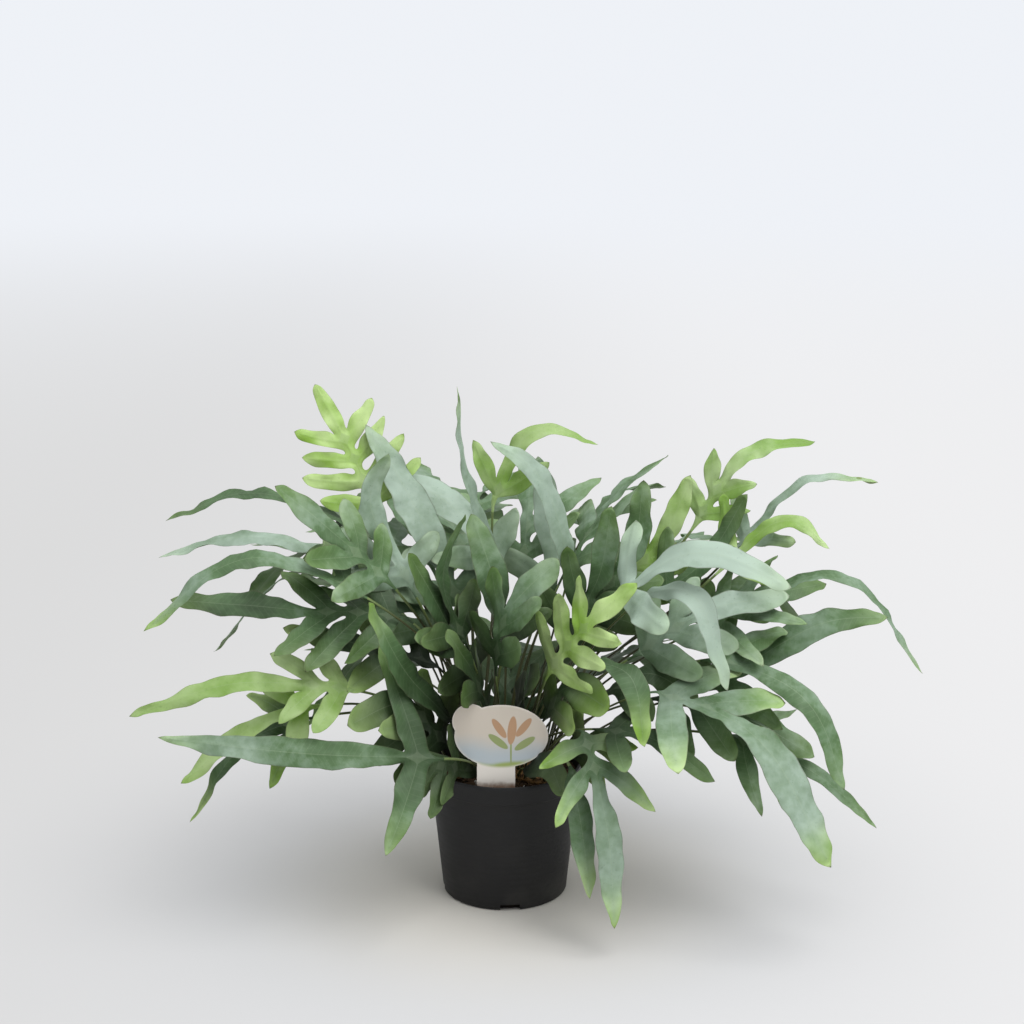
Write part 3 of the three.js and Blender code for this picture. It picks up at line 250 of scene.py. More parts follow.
# The glow gets painted shade, darker to the left and at the front.
wall_foot = mixed(tree, ranged(tree, sideways.outputs["X"], *LEFT_TO_RIGHT), WALL_LEFT_PAINTED_SHADE, WALL_RIGHT)
wall_foot = mixed(tree, ranged(tree, sideways.outputs["Y"], *FRONT_TO_MIDDLE), FLOOR_FRONT_PAINTED_SHADE, wall_foot)
up_wall = ranged(tree, distance.outputs["Value"], *FLOOR_TO_SKY)
wall = add_node(tree, "ShaderNodeEmission")
tree.links.new(mixed(tree, up_wall, wall_foot, SKY_SEEN), wall.inputs["Color"])
far_off = ranged(tree, distance.outputs["Value"], *FAR_OFF)
blend = add_node(tree, "ShaderNodeMixShader")
tree.links.new(far_off, blend.inputs["Fac"])
tree.links.new(shader.outputs["BSDF"], blend.inputs[1])
tree.links.new(wall.outputs["Emission"], blend.inputs[2])
tree.links.new(blend.outputs["Shader"], tree.nodes["Material Output"].inputs["Surface"])
floor.data.materials.append(floor_paint)
print("floor radius in m:", FLOOR_RADIUS)

# %% [markdown]
# ## Reading a frond
# A frond in the CAD model is one thin closed body. Its outline is a chain of edges far sharper than
# any other, which parts the upper sheet from the under sheet, and each sheet has a low rib. So the
# outline, the rib and the stalk can be found from the shape alone, and what is found is stored on
# the points: how far in from the margin, how far from the foot, how far from a tip.

# %% Finding outline, stalk and tips
JOIN = 0.01 * MM
OUTLINE_ANGLE = math.radians(95)
STALK_RING = 2.85 * MM
ACUTE_TIP = math.radians(78)
POT_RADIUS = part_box("pot")[1].x
FRONT_LIGHT = Vector((0, -0.9, 0.42))
BACK_LIGHT = Vector((0, 0.8, 0.6))


def walk(starts):
    """Shortest way from the nearest start to every point, along the edges."""
    reached = {point: 0.0 for point in starts}
    queue = [(0.0, point.index, point) for point in starts]
    while queue:
        so_far, _, point = heapq.heappop(queue)
        if so_far > reached[point]:
            continue
        for edge in point.link_edges:
            other = edge.other_vert(point)
            there = so_far + edge.calc_length()
            if there < reached.get(other, 1e9):
                reached[other] = there
                heapq.heappush(queue, (there, other.index, other))
    return reached


def stalk_from(foot):
    """The foot and all points on the narrow stalks above it."""
    found = {foot}
    front = [foot]
    while front:
        point = front.pop()
        for edge in point.link_edges:
            other = edge.other_vert(point)
            if other not in found and min(e.calc_length() for e in other.link_edges) < STALK_RING:
                found.add(other)
                front.append(other)
    return found


def sheets_of(faces, walls):
    """Groups of faces that hang together without crossing a wall."""
    left = set(faces)
    groups = []
    while left:
        front = [left.pop()]
        group = list(front)
        while front:
            for edge in front.pop().edges:
                if edge in walls:
                    continue
                for face in edge.link_faces:
                    if face in left:
                        left.remove(face)
                        front.append(face)
                        group.append(face)
        groups.append(group)
    return groups


print("stalk's ring in mm:", STALK_RING / MM)

# %% [markdown]
# ## A cage for each frond
# A smooth leaf needs a coarse cage of quads with a sharp margin. The CAD triangles are joined in
# pairs, the outline gets a crease, and a narrow tip keeps its point. Drawing each leaf anew would
# lose the CAD outline. The values found above are stored on the cage, and the sheet that looks to
# the light gets the upper finish.

# %% Turning a CAD frond into a cage for a smooth skin
CAGE_VALUES = ("across", "along", "to_tip", "blade", "to_blade")


def cage_from(node, light):
    """The frond's joined mesh in quads, with its stored values, creases and three finishes."""
    shape = bmesh.new()
    shape.from_mesh(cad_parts[node].data)
    bmesh.ops.remove_doubles(shape, verts=shape.verts, dist=JOIN)
    layers = {name: shape.verts.layers.float.new(name) for name in CAGE_VALUES}
    lean = shape.verts.layers.float_vector.new("lean")
    outward = shape.verts.layers.float_vector.new("outward")
    crease = shape.edges.layers.float.new("crease_edge")
    corner = shape.verts.layers.float.new("crease_vert")
    shape.verts.index_update()
    shape.normal_update()
    outline = {e for e in shape.edges if e.is_manifold and e.calc_face_angle() > OUTLINE_ANGLE}
    margin = {point for edge in outline for point in edge.verts}
    in_pot = [v for v in shape.verts if math.hypot(v.co.x, v.co.y) < POT_RADIUS]
    foot = min(in_pot, key=lambda v: v.co.z)
    stalk = stalk_from(foot)
    tips = [v for v in shape.verts if len(v.link_edges) == 4 and v in margin and v not in stalk]
    from_foot = walk([foot])
    from_tip = walk(tips)
    from_blade = walk([v for v in shape.verts if v not in stalk])
    blade_faces = [f for f in shape.faces if not all(v in stalk for v in f.verts)]
    upper = set()
    sheets = sheets_of(blade_faces, outline)
    for sheet in sheets:
        facing = sum((f.normal * f.calc_area() for f in sheet), Vector())
        if facing.dot(light) > 0:
            upper.update(sheet)
    for point in shape.verts:
        point[layers["across"]] = 0.0 if point in margin else 1.0
        point[layers["along"]] = from_foot[point]
        point[layers["to_tip"]] = from_tip.get(point, 1.0)
        point[layers["blade"]] = 0.0 if point in stalk else 1.0
        point[layers["to_blade"]] = from_blade[point]
        total = Vector()
        for face in point.link_faces:
            total += face.normal * face.calc_area() * (1 if face in upper else -1)
        point[lean] = total.normalized()
        point[outward] = point.normal if point in margin and point not in stalk else Vector()
    for face in shape.faces:
        in_stalk = all(v in stalk for v in face.verts)
        face.material_index = 2 if in_stalk else (0 if face in upper else 1)
        face.smooth = True
    for edge in outline:
        if not all(v in stalk for v in edge.verts):
            edge[crease] = 1.0
    for tip in tips:
        ways = [(e.other_vert(tip).co - tip.co).normalized() for e in tip.link_edges if e in outline]
        if len(ways) == 2 and ways[0].angle(ways[1]) < ACUTE_TIP:
            tip[corner] = 1.0
    for edge in shape.edges:
        ends = [v in margin for v in edge.verts]
        edge.seam = edge in outline or not any(ends)
    bmesh.ops.join_triangles(shape, faces=shape.faces[:], cmp_seam=True, cmp_materials=True,
                             angle_face_threshold=math.pi, angle_shape_threshold=math.pi)
    return shape, len(sheets), len(tips)


for node in FRONDS[:3]:
    cage, sheets, tips = cage_from(node, FRONT_LIGHT)
    print(node, "faces", len(cage.faces), "sheets", sheets, "tips", tips)
    cage.free()

# %% [markdown]
# ## The skin of a frond
# Subdivision Surface turns the coarse cage into a smooth leaf, with the outline creased so that it
# stays a crisp margin. Subdivision cuts corners, so the cage is first pushed out, twice, by what
# each of its points lost.

# %% Smooth skin that keeps to the CAD outline
FINE = 3
FIT_ROUNDS = 2


def add_smoothing(piece, levels):
    """The Subdivision Surface modifier that every frond gets."""
    smoothing = piece.modifiers.new("smooth_skin", "SUBSURF")
    smoothing.levels = levels
    smoothing.render_levels = levels
    smoothing.use_limit_surface = True
    smoothing.use_creases = True
    return smoothing


def points_of(mesh, count=None):
    """A mesh's points as rows of x, y, z."""
    flat = np.empty(len(mesh.vertices) * 3)
    mesh.vertices.foreach_get("co", flat)
    return flat.reshape(-1, 3)[:count]


def put_points(mesh, spots):
    """Moves a mesh's points to new rows of x, y, z."""
    mesh.vertices.foreach_set("co", np.ascontiguousarray(spots, dtype=np.float64).ravel())
    mesh.update()


def stored(mesh, name, width=1):
    """A value that is stored on the points, as an array."""
    flat = np.empty(len(mesh.vertices) * width, dtype=np.float32)
    mesh.attributes[name].data.foreach_get("value" if width == 1 else "vector", flat)
    return flat if width == 1 else flat.reshape(-1, width)


def store(mesh, name, values):
    """Stores one value on each point, for a finish to read."""
    layer = mesh.attributes.get(name) or mesh.attributes.new(name, "FLOAT", "POINT")
    layer.data.foreach_set("value", np.ascontiguousarray(values, dtype=np.float32))


def smooth_skin(name, cage):
    """A new piece with the cage's smooth skin, its modifier applied."""
    mesh = bpy.data.meshes.new(name)
    cage.to_mesh(mesh)
    cage.free()
    piece = bpy.data.objects.new(name, mesh)
    bpy.context.scene.collection.objects.link(piece)
    wanted = points_of(mesh)
    add_smoothing(piece, 1)
    for _ in range(FIT_ROUNDS):
        graph = bpy.context.evaluated_depsgraph_get()
        smoothed = points_of(piece.evaluated_get(graph).data, len(wanted))
        put_points(mesh, points_of(mesh) + wanted - smoothed)
    piece.modifiers[0].levels = FINE
    piece.modifiers[0].render_levels = FINE
    bpy.ops.object.select_all(action="DESELECT")
    bpy.context.view_layer.objects.active = piece
    piece.select_set(True)
    bpy.ops.object.modifier_apply(modifier="smooth_skin")
    return piece


print("skin levels:", FINE)

# %% [markdown]
# ## Thickness, rib and waves
# A real blade is thin as paper, with a fine rib, a slightly quilted face and a margin that waves.
# Sculpt brushes could shape one leaf so, but not every leaf the same way twice. So each point of the
# smooth skin is moved by a rule: the sheets are drawn together, the rib is left standing, and soft
# noise waves the margin, less at the tips.

# %% Leaf thickness, rib and waved margin
CAD_RIDGE = 0.6 * MM
LEAF_HALF = 0.2 * MM
RIB_RISE = 0.34 * MM
RIPPLE = 4.8 * MM
RIPPLE_PITCH = 17 * MM
WIDER = 1.1 * MM
EDGE_DRIFT = 2.5 * MM
EDGE_PITCH = 19 * MM
QUILT = 0.8 * MM
QUILT_PITCH = 11 * MM


def eased(low, high, values):
    """A smooth step from 0 to 1 between low and high."""
    share = np.clip((values - low) / (high - low), 0, 1)
    return share * share * (3 - 2 * share)


def cloudy(spots, pitch, seed):
    """Soft noise from -1 to 1 at each spot, with hills about a pitch apart."""
    shift = Vector((seed * 1.37, seed * 2.11, seed * 0.73))
    return np.array([noise.noise(Vector(spot) / pitch + shift) for spot in spots])


def shape_leaf(piece, seed):
    """Draws the two sheets together to a leaf's thickness and waves its margins."""
    mesh = piece.data
    spots = points_of(mesh)
    across = stored(mesh, "across")
    blade = stored(mesh, "blade")
    to_tip = stored(mesh, "to_tip")
    lean = stored(mesh, "lean", 3)
    own = np.empty(len(spots) * 3, dtype=np.float32)
    mesh.vertex_normals.foreach_get("vector", own)
    own = own.reshape(-1, 3)
    half = LEAF_HALF * eased(0, 0.14, across) + RIB_RISE * eased(0.72, 1.0, across)
    inward = (half - CAD_RIDGE * across) * blade * eased(0.02, 0.12, across)
    margin = (1 - across) ** 1.6 * blade * eased(0, 14 * MM, to_tip)
    ripple = cloudy(spots, RIPPLE_PITCH, seed) * RIPPLE * margin
    quilt = cloudy(spots, QUILT_PITCH, seed + 40) * QUILT * blade * (1 - across * 0.7)
    spread = WIDER + cloudy(spots, EDGE_PITCH, seed + 20) * EDGE_DRIFT
    outward = stored(mesh, "outward", 3)
    moved = own * inward[:, None] + lean * (ripple + quilt)[:, None] + outward * spread[:, None]
    put_points(mesh, spots + moved)


print("blade thickness in mm:", round(2 * LEAF_HALF / MM, 2))

# %% [markdown]
# ## Tone of each frond
# Old fronds are dusty blue-grey, young ones lime, and many blades have a yellow-green tip. Deep in
# the crown the leaves get painted shade, deeper green to black. Each frond's own tone is stored on its
# points, with its lime parts and how far each point lies out of the crown for the painted shade, so
# that one set of leaf finishes serves the whole crown.

# %% Tones
TONE_OF_WORD = {"dark": 0.2, "grey": 0.72, "pale": 0.95, "blue": 0.85, "green": 0.3, "low": 0.42}
USUAL_TONE = 0.47
OWN_TONE = {
    "left_band": 0.2, "left_long_arch": 0.42, "left_dark_low": 0.15, "left_great_low": 0.5,
    "left_grey_rise": 0.32, "left_pale_round": 0.45, "left_blue_top": 0.7, "centre_left_tall": 0.28,
    "centre_low_left": 0.2, "centre_right_round": 0.4, "centre_pale": 0.55, "centre_top_grey": 0.5,
    "front_left_rim": 0.35, "front_right_rim": 0.35, "right_inner_round": 0.4, "right_inner_tall": 0.4,
    "right_low_broad": 0.45, "top_pale_spear": 0.9, "right_pale_wave": 1.0, "front_right_hang": 0.7,
    "right_great_hang": 0.6, "lime_low": 0.3, "left_broad_top": 0.78, "top_wide_grey": 0.85,
    "top_thread": 0.7, "right_thin_arch": 0.7,
}
LIME = {
    "lime_fan": 1.0, "lime_front": 0.95, "lime_low": 0.6, "right_top_arch": 0.62, "right_lime_arch": 0.7,
    "top_green_arch": 0.62, "left_lime_behind": 0.8, "right_inner_lime": 0.72,
}
GREEN_TIP = {
    "left_great_low": 0.35, "left_long_arch": 0.7, "front_right_hang": 0.75, "right_great_hang": 0.7,
    "left_dark_low": 0.8, "left_grey_rise": 0.5, "centre_right_round": 0.9, "right_long_arch": 0.3,
    "right_broad": 0.25, "right_thin_arch": 0.5, "top_thread": 0.45, "front_rim_right": 0.3,
}
USUAL_TIP = 0.2
TIP_REACH = 55 * MM
CROWN_CENTRE = np.array([15, 20, 165]) * MM
CROWN_REACH = np.array([300, 230, 230]) * MM
BACK_SHADE_OPENNESS = 0.5


def tone_of(name):
    """How pale and blue a frond is: its own tone, or one from the words in its name."""
    if name in OWN_TONE:
        return OWN_TONE[name]
    found = [tone for word, tone in TONE_OF_WORD.items() if word in name]
    return sum(found) / len(found) if found else USUAL_TONE


def store_tones(piece, name, seed):
    """Stores tone, lime and the openness for painted shade on the points of one frond."""
    mesh = piece.data
    spots = points_of(mesh)
    to_tip = stored(mesh, "to_tip")
    across = stored(mesh, "across")
    drift = cloudy(spots, 45 * MM, seed + 80)
    lime = np.full(len(spots), LIME.get(name, 0.0))
    tip = GREEN_TIP.get(name, USUAL_TIP) * (1 - eased(4 * MM, TIP_REACH, to_tip))
    lime = np.maximum(lime + drift * 0.12 * lime, tip * (1.15 - 0.5 * across))
    store(mesh, "lime", np.clip(lime, 0, 1))
    # Painted shade: how far a point lies out of the crown's middle, 0 deep inside to 1 outside; back
    # fronds always count as at least half out.
    crown = (spots - CROWN_CENTRE) / CROWN_REACH
    painted_shade_openness = eased(0.15, 1.0, np.sqrt((crown * crown).sum(1)))
    if name.startswith("back_"):
        painted_shade_openness = np.maximum(painted_shade_openness, BACK_SHADE_OPENNESS)
    store(mesh, "tone", np.clip(tone_of(name) + drift * 0.22, 0, 1))
    store(mesh, "painted_shade_openness", painted_shade_openness)


print("fronds with a tone of their own:", len(OWN_TONE), "lime fronds:", len(LIME))

# %% [markdown]
# ## Leaf finishes
# The upper sheet is waxed: a pale bloom lies over blue-green, thinner in places, with a light midrib,
# faint side veins and a thin darker margin. The under sheet is greener and duller. A stalk is dark
# brown-green below and light where it becomes the midrib.

# %% Leaf materials
BLACK = (0, 0, 0, 1)
DEEP_GREEN = (0.022, 0.05, 0.013, 1)
WAX_GREEN = (0.089, 0.166, 0.067, 1)
WAX_PALE = (0.35, 0.45, 0.365, 1)
LIME_GREEN = (0.23, 0.41, 0.045, 1)
LIME_PALE = (0.5, 0.66, 0.27, 1)
RIB_PALE = (0.34, 0.42, 0.27, 1)
MARGIN_BROWN = (0.1, 0.075, 0.05, 1)
UNDER_GREEN = (0.07, 0.15, 0.035, 1)
UNDER_PALE = (0.15, 0.25, 0.09, 1)
VEIN_PITCH = 5.5 * MM
VEIN_SLANT = 1.6
VEIN_SHOWS = 0.06
CLOUD_SCALE, DUST_SCALE, SPECK_SCALE, GRAIN_SCALE = 26.0, 130.0, 420.0, 900.0
STALK_DARK = ((0.03, 0.035, 0.012, 1), (0.07, 0.075, 0.02, 1))
STALK_LIGHT = ((0.12, 0.18, 0.05, 1), (0.2, 0.27, 0.09, 1))


def side_veins(tree, across):
    """Faint slanting veins between the rib and the margin."""
    slant = counted(tree, "MULTIPLY", across, -VEIN_SLANT)
    turns = counted(tree, "ADD", counted(tree, "DIVIDE", kept(tree, "along"), VEIN_PITCH), slant)
    off_vein = counted(tree, "ABSOLUTE", counted(tree, "SUBTRACT", counted(tree, "FRACT", turns), 0.5))
    return counted(tree, "MULTIPLY", ranged(tree, off_vein, 0.36, 0.5), VEIN_SHOWS)


def leaf_paint(name, deep, middle, pale, roughness):
    """One sheet's finish, painted from the values on the frond's points."""
    paint, tree, shader = finish_named(name, Roughness=roughness, Specular_IOR_Level=0.32)
    tone = kept(tree, "tone")
    lime = kept(tree, "lime")
    across = kept(tree, "across")
    painted_shade_openness = kept(tree, "painted_shade_openness")
    cloud = marbled(tree, CLOUD_SCALE, 4.0)
    broad = ranged(tree, cloud, 0.3, 0.7, -0.1, 0.1)
    fine = ranged(tree, marbled(tree, DUST_SCALE), 0.3, 0.7, -0.05, 0.05)
    tone = counted(tree, "ADD", tone, counted(tree, "ADD", broad, fine))
    # Painted shade and light: the tone drops towards deep green deep in the crown and rises a little
    # outside it.
    tone = counted(tree, "MULTIPLY", tone, ranged(tree, painted_shade_openness, 0.1, 1.0, 0.1, 1.15, smooth=False))
    colour = mixed(tree, ranged(tree, tone, 0.0, 0.5, smooth=False), deep, middle)
    colour = mixed(tree, ranged(tree, tone, 0.45, 1.0, smooth=False), colour, pale)
    fresh = mixed(tree, ranged(tree, cloud, 0.3, 0.7), LIME_GREEN, LIME_PALE)
    colour = mixed(tree, lime, colour, fresh)
    speck = marbled(tree, SPECK_SCALE, 2.0)
    colour = mixed(tree, ranged(tree, speck, 0.62, 0.78, 0.0, 0.22), colour, deep)
    colour = mixed(tree, side_veins(tree, across), colour, RIB_PALE)
    colour = mixed(tree, ranged(tree, across, 0.02, 0.07, 0.35, 0.0), colour, MARGIN_BROWN)
    colour = mixed(tree, ranged(tree, across, 0.955, 0.985, 0.0, 0.17), colour, RIB_PALE)
    # Painted shade: deep in the crown the leaf is darkened towards black, less on lime fronds, where
    # painted light stands for light shining through them.
    painted_shade = ranged(tree, painted_shade_openness, 0.0, 0.85, 0.94, 0.0, smooth=False)
    glow_through = counted(tree, "MULTIPLY_ADD", lime, -0.7, 1.0)
    colour = mixed(tree, counted(tree, "MULTIPLY", painted_shade, glow_through), colour, BLACK)
    tree.links.new(colour, shader.inputs["Base Color"])
    bumped(tree, shader, marbled(tree, GRAIN_SCALE), 0.25, 0.0004)
    return paint


UPPER_PAINT = leaf_paint("leaf_upper", DEEP_GREEN, WAX_GREEN, WAX_PALE, 0.5)
UNDER_PAINT = leaf_paint("leaf_under", DEEP_GREEN, UNDER_GREEN, UNDER_PALE, 0.55)


def stalk_paint():
    """Dark below, light green where the stalk meets the blade."""
    paint, tree, shader = finish_named("leaf_stalk", Roughness=0.42)
    height = ranged(tree, kept(tree, "to_blade"), 0.005, 0.07, 1.0, 0.0)
    streak = marbled(tree, 160.0, 3.0)
    low = mixed(tree, streak, *STALK_DARK)
    high = mixed(tree, streak, *STALK_LIGHT)
    tree.links.new(mixed(tree, height, low, high), shader.inputs["Base Color"])
    bumped(tree, shader, streak, 0.2, 0.0004)
    return paint


STALK_PAINT = stalk_paint()
print("leaf finishes:", UPPER_PAINT.name, UNDER_PAINT.name, STALK_PAINT.name)

# %% [markdown]
# ## All the fronds
# Every frond goes through the same steps: cage, skin, thickness and waves, tones, finishes. Its seed
# is its place in the list, so no two wave alike and each is the same at every run. The smooth piece
# then stands for its CAD node.

# %% All the fronds
leaf_triangles = 0
for seed, node in enumerate(FRONDS):
    short = node.removeprefix("frond_")
    light = BACK_LIGHT if short.startswith("back_") else FRONT_LIGHT
    cage, sheets, tips = cage_from(node, light)
    leaf = smooth_skin("leaf_" + short, cage)
    shape_leaf(leaf, seed)
    store_tones(leaf, short, seed)
    for paint in (UPPER_PAINT, UNDER_PAINT, STALK_PAINT):
        leaf.data.materials.append(paint)
    bpy.ops.object.shade_smooth_by_angle(angle=math.radians(60))
    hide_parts(node)
    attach(leaf, "root")
    leaf_triangles += sum(len(face.vertices) - 2 for face in leaf.data.polygons)
print("leaves", len(FRONDS), "triangles", leaf_triangles)

# %% [markdown]
# ## The nursery pot
# A thin injection-moulded pot: a tapering wall, a slightly thicker band below the rim, a rounded lip
# and drainage notches cut through the foot. A half profile that is spun round the axis gives all the
# round forms at once, with far more steps than the CAD lathe, and a cutter takes out the notches.

# %% Pot
POT_HEIGHT = 131
RIM_RADIUS = 75
BASE_RADIUS = 60.5
POT_WALL = 1.6
POT_FLOOR = 2.4
BAND_HEIGHT = 18
BAND_STEP = 1.1
POT_STEPS = 160
NOTCHES = 4
NOTCH_START = -85
NOTCH_SIZE = (14, 19, 12)
RINGS_FROM, RINGS_TO, RING_PITCH, RING_DEPTH = 6, 108, 6.4, 0.09


def wall_radius(z):
    """Outer radius of the pot's wall at a height, both in mm."""
    return BASE_RADIUS + (RIM_RADIUS - BAND_STEP - BASE_RADIUS) * z / POT_HEIGHT


def in_edit_mode(piece, work):
    """Runs operators in edit mode on one piece with all of it selected."""
    bpy.ops.object.select_all(action="DESELECT")
    piece.select_set(True)
    bpy.context.view_layer.objects.active = piece
    bpy.ops.object.mode_set(mode="EDIT")
    bpy.ops.mesh.select_all(action="SELECT")
    work()
    bpy.ops.object.mode_set(mode="OBJECT")


def spun(name, profile, steps):
    """A closed round body from a half profile of (radius, height) in mm that ends on the axis."""
    mesh = bpy.data.meshes.new(name)
    points = [(radius * MM, 0, height * MM) for radius, height in profile]
    mesh.from_pydata(points, [(i, i + 1) for i in range(len(points) - 1)], [])
    piece = bpy.data.objects.new(name, mesh)
    bpy.context.scene.collection.objects.link(piece)

    def work():
        bpy.ops.mesh.spin(steps=steps, angle=math.tau, center=(0, 0, 0), axis=(0, 0, 1))
        bpy.ops.mesh.select_all(action="SELECT")
        bpy.ops.mesh.remove_doubles(threshold=JOIN)
        bpy.ops.mesh.normals_make_consistent(inside=False)

    in_edit_mode(piece, work)
    return piece


def pot_profile():
    """The pot's half section, from the middle of the underside over the lip to the inner floor."""
    band_foot = POT_HEIGHT - BAND_HEIGHT
    section = [(0, 0), (BASE_RADIUS - 2.6, 0), (BASE_RADIUS - 1.2, 0.25)]
    section += [(BASE_RADIUS - 0.3, 0.9), (wall_radius(2), 2)]
    z = RINGS_FROM
    while z < RINGS_TO:
        for rise, depth in ((-0.9, 0), (0, RING_DEPTH), (0.9, 0)):
            section.append((wall_radius(z + rise) - depth, z + rise))
        z += RING_PITCH
    band = wall_radius(band_foot)
    section += [(wall_radius(band_foot - 1.6), band_foot - 1.6), (band + 0.5, band_foot - 0.6)]
    section += [(band + BAND_STEP - 0.15, band_foot), (band + BAND_STEP, band_foot + 0.6)]
    section += [(RIM_RADIUS - 0.5, POT_HEIGHT - 5), (RIM_RADIUS - 0.05, POT_HEIGHT - 4.2)]
    section += [(RIM_RADIUS, POT_HEIGHT - 1.1), (RIM_RADIUS - 0.3, POT_HEIGHT - 0.35)]
    section.append((RIM_RADIUS - 1, POT_HEIGHT))
    inner = wall_radius(POT_HEIGHT) - POT_WALL
    section += [(inner + 0.5, POT_HEIGHT), (inner + 0.1, POT_HEIGHT - 0.3), (inner, POT_HEIGHT - 1)]
    section += [(wall_radius(POT_FLOOR) - POT_WALL, POT_FLOOR), (0, POT_FLOOR)]
    return section


pot = spun("nursery_pot", pot_profile(), POT_STEPS)
cutters = []
for i in range(NOTCHES):
    turn = math.radians(NOTCH_START + 360 * i / NOTCHES)
    bpy.ops.object.select_all(action="DESELECT")
    middle = Vector((BASE_RADIUS * math.cos(turn), BASE_RADIUS * math.sin(turn), 0)) * MM
    sides = [side * MM for side in NOTCH_SIZE]
    bpy.ops.mesh.primitive_cube_add(size=1, location=middle, rotation=(0, 0, turn), scale=sides)
    cutters.append(bpy.context.object)
for cutter in cutters:
    cutter.select_set(True)
bpy.ops.object.join()
cutter = bpy.context.object
bpy.ops.object.transform_apply(location=True, rotation=True, scale=True)
cut = pot.modifiers.new("notches", "BOOLEAN")
cut.operation = "DIFFERENCE"
cut.solver = "EXACT"
cut.object = cutter
bpy.ops.object.select_all(action="DESELECT")
bpy.context.view_layer.objects.active = pot
pot.select_set(True)
bpy.ops.object.modifier_apply(modifier="notches")
bpy.data.objects.remove(cutter)
bpy.ops.object.shade_smooth_by_angle(angle=math.radians(32))
print("pot faces", len(pot.data.polygons))

# %% [markdown]
# ## Pot finish
# The plastic is a near-black charcoal with a satin skin. What makes it look moulded is small: a very
# fine grain in its gloss, a paler dusty band low down, and a few specks of dried water.

# %% Pot finish
POT_BLACK = (0.0105, 0.0105, 0.0112, 1)
POT_DUST = (0.045, 0.043, 0.039, 1)
POT_SPECK = (0.4, 0.41, 0.38, 1)
SPECKS = {(27, -71.8, 97): 0.9, (23, -71.8, 88): 1.1, (-31, -62, 40): 0.5, (44, -52, 61): 0.6}


def speck_mask(tree, middle, radius):
    """A small round mark round a point, both in mm."""
    apart = add_node(tree, "ShaderNodeVectorMath", operation="DISTANCE")
    tree.links.new(place(tree), apart.inputs[0])
    apart.inputs[1].default_value = [value * MM for value in middle]
    return ranged(tree, apart.outputs["Value"], radius * 0.5 * MM, radius * MM, 1.0, 0.0)


pot_paint, tree, shader = finish_named("pot_plastic", Specular_IOR_Level=0.3)
height = apart_axes(tree, place(tree))
dust = marbled(tree, 24.0, 5.0)
low_down = ranged(tree, height.outputs["Z"], 0.0, 0.035, 0.55, 0.0)
dusty = counted(tree, "MULTIPLY", ranged(tree, dust, 0.42, 0.7), counted(tree, "ADD", low_down, 0.18))
colour = mixed(tree, dusty, POT_BLACK, POT_DUST)
for middle, radius in SPECKS.items():
    colour = mixed(tree, speck_mask(tree, middle, radius), colour, POT_SPECK)
tree.links.new(colour, shader.inputs["Base Color"])
tree.links.new(ranged(tree, dust, 0.3, 0.7, 0.46, 0.6), shader.inputs["Roughness"])
bumped(tree, shader, marbled(tree, 2400.0, 2.0), 0.12, 0.0003)
pot.data.materials.clear()
pot.data.materials.append(pot_paint)
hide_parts("pot")
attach(pot, "root")
print("pot finish:", pot_paint.name)

# %% [markdown]
# ## Potting mix
# Peat and fine bark fill the pot to just below the rim. The bed is a spun disc that soft noise makes
# uneven. A displace modifier could do that too, but would also lift the edge off the pot's wall.

# %% Soil bed
SOIL_TOP = 118.6
SOIL_RINGS = 30
SOIL_STEPS = 110
SOIL_ROUGH = 1.3 * MM
SOIL_GAP = 0.35
soil_radius = wall_radius(SOIL_TOP) - POT_WALL - SOIL_GAP
soil_floor = POT_FLOOR + SOIL_GAP
soil_section = [(soil_radius * i / SOIL_RINGS, SOIL_TOP) for i in range(SOIL_RINGS + 1)]
soil_section += [(wall_radius(soil_floor) - POT_WALL - SOIL_GAP, soil_floor), (0, soil_floor)]
soil = spun("soil_bed", soil_section, SOIL_STEPS)
spots = points_of(soil.data)
on_top = spots[:, 2] > (SOIL_TOP - 1) * MM
rough = cloudy(spots, 9 * MM, 3) + 0.6 * cloudy(spots, 3.4 * MM, 5)
from_middle = np.hypot(spots[:, 0], spots[:, 1])
rough *= on_top * (1 - eased((soil_radius - 3) * MM, soil_radius * MM, from_middle))
spots[:, 2] += rough * SOIL_ROUGH
put_points(soil.data, spots)
bpy.ops.object.shade_smooth_by_angle(angle=math.radians(50))
print("soil faces", len(soil.data.polygons))

# %% [markdown]
# ## Crumbs
# Loose crumbs lie on the bed, and here and there one is a white grain of perlite. One rough crumb is
# modelled once and copied with other sizes, turns and places, all in one mesh for each kind.
# Particles would be quicker to set up, but the exported model would lose them.

# %% Crumbs
CRUMBS = 520
PERLITE_EVERY = 13
rng = random.Random(11)
bpy.ops.object.select_all(action="DESELECT")
bpy.ops.mesh.primitive_ico_sphere_add(subdivisions=1, radius=1)
crumb = bpy.context.object
crumb_points = points_of(crumb.data)
crumb_faces = [list(face.vertices) for face in crumb.data.polygons]
bpy.data.objects.remove(crumb)


def scattered(name, points, faces, places):
    """One mesh of many copies of a shape, each with its own sizes, turn and place."""
    all_points, all_faces = [], []
    for middle, sizes, turn in places:
        offset = sum(len(block) for block in all_points)
        wobble = np.array([[rng.uniform(0.72, 1.25)] for _ in points])
        turned = (points * wobble * np.array(sizes)) @ np.array(turn.to_matrix())
        all_points.append(turned + np.array(middle))
        all_faces += [[index + offset for index in face] for face in faces]
    mesh = bpy.data.meshes.new(name)
    mesh.from_pydata(np.concatenate(all_points).tolist(), [], all_faces)
    piece = bpy.data.objects.new(name, mesh)
    bpy.context.scene.collection.objects.link(piece)
    return piece


def random_turn():
    """A turn in any direction."""
    first = Matrix.Rotation(rng.uniform(0, math.tau), 3, rng.choice("XYZ"))
    second = Matrix.Rotation(rng.uniform(0, math.tau), 3, "Z")
    return first.to_quaternion() @ second.to_quaternion()


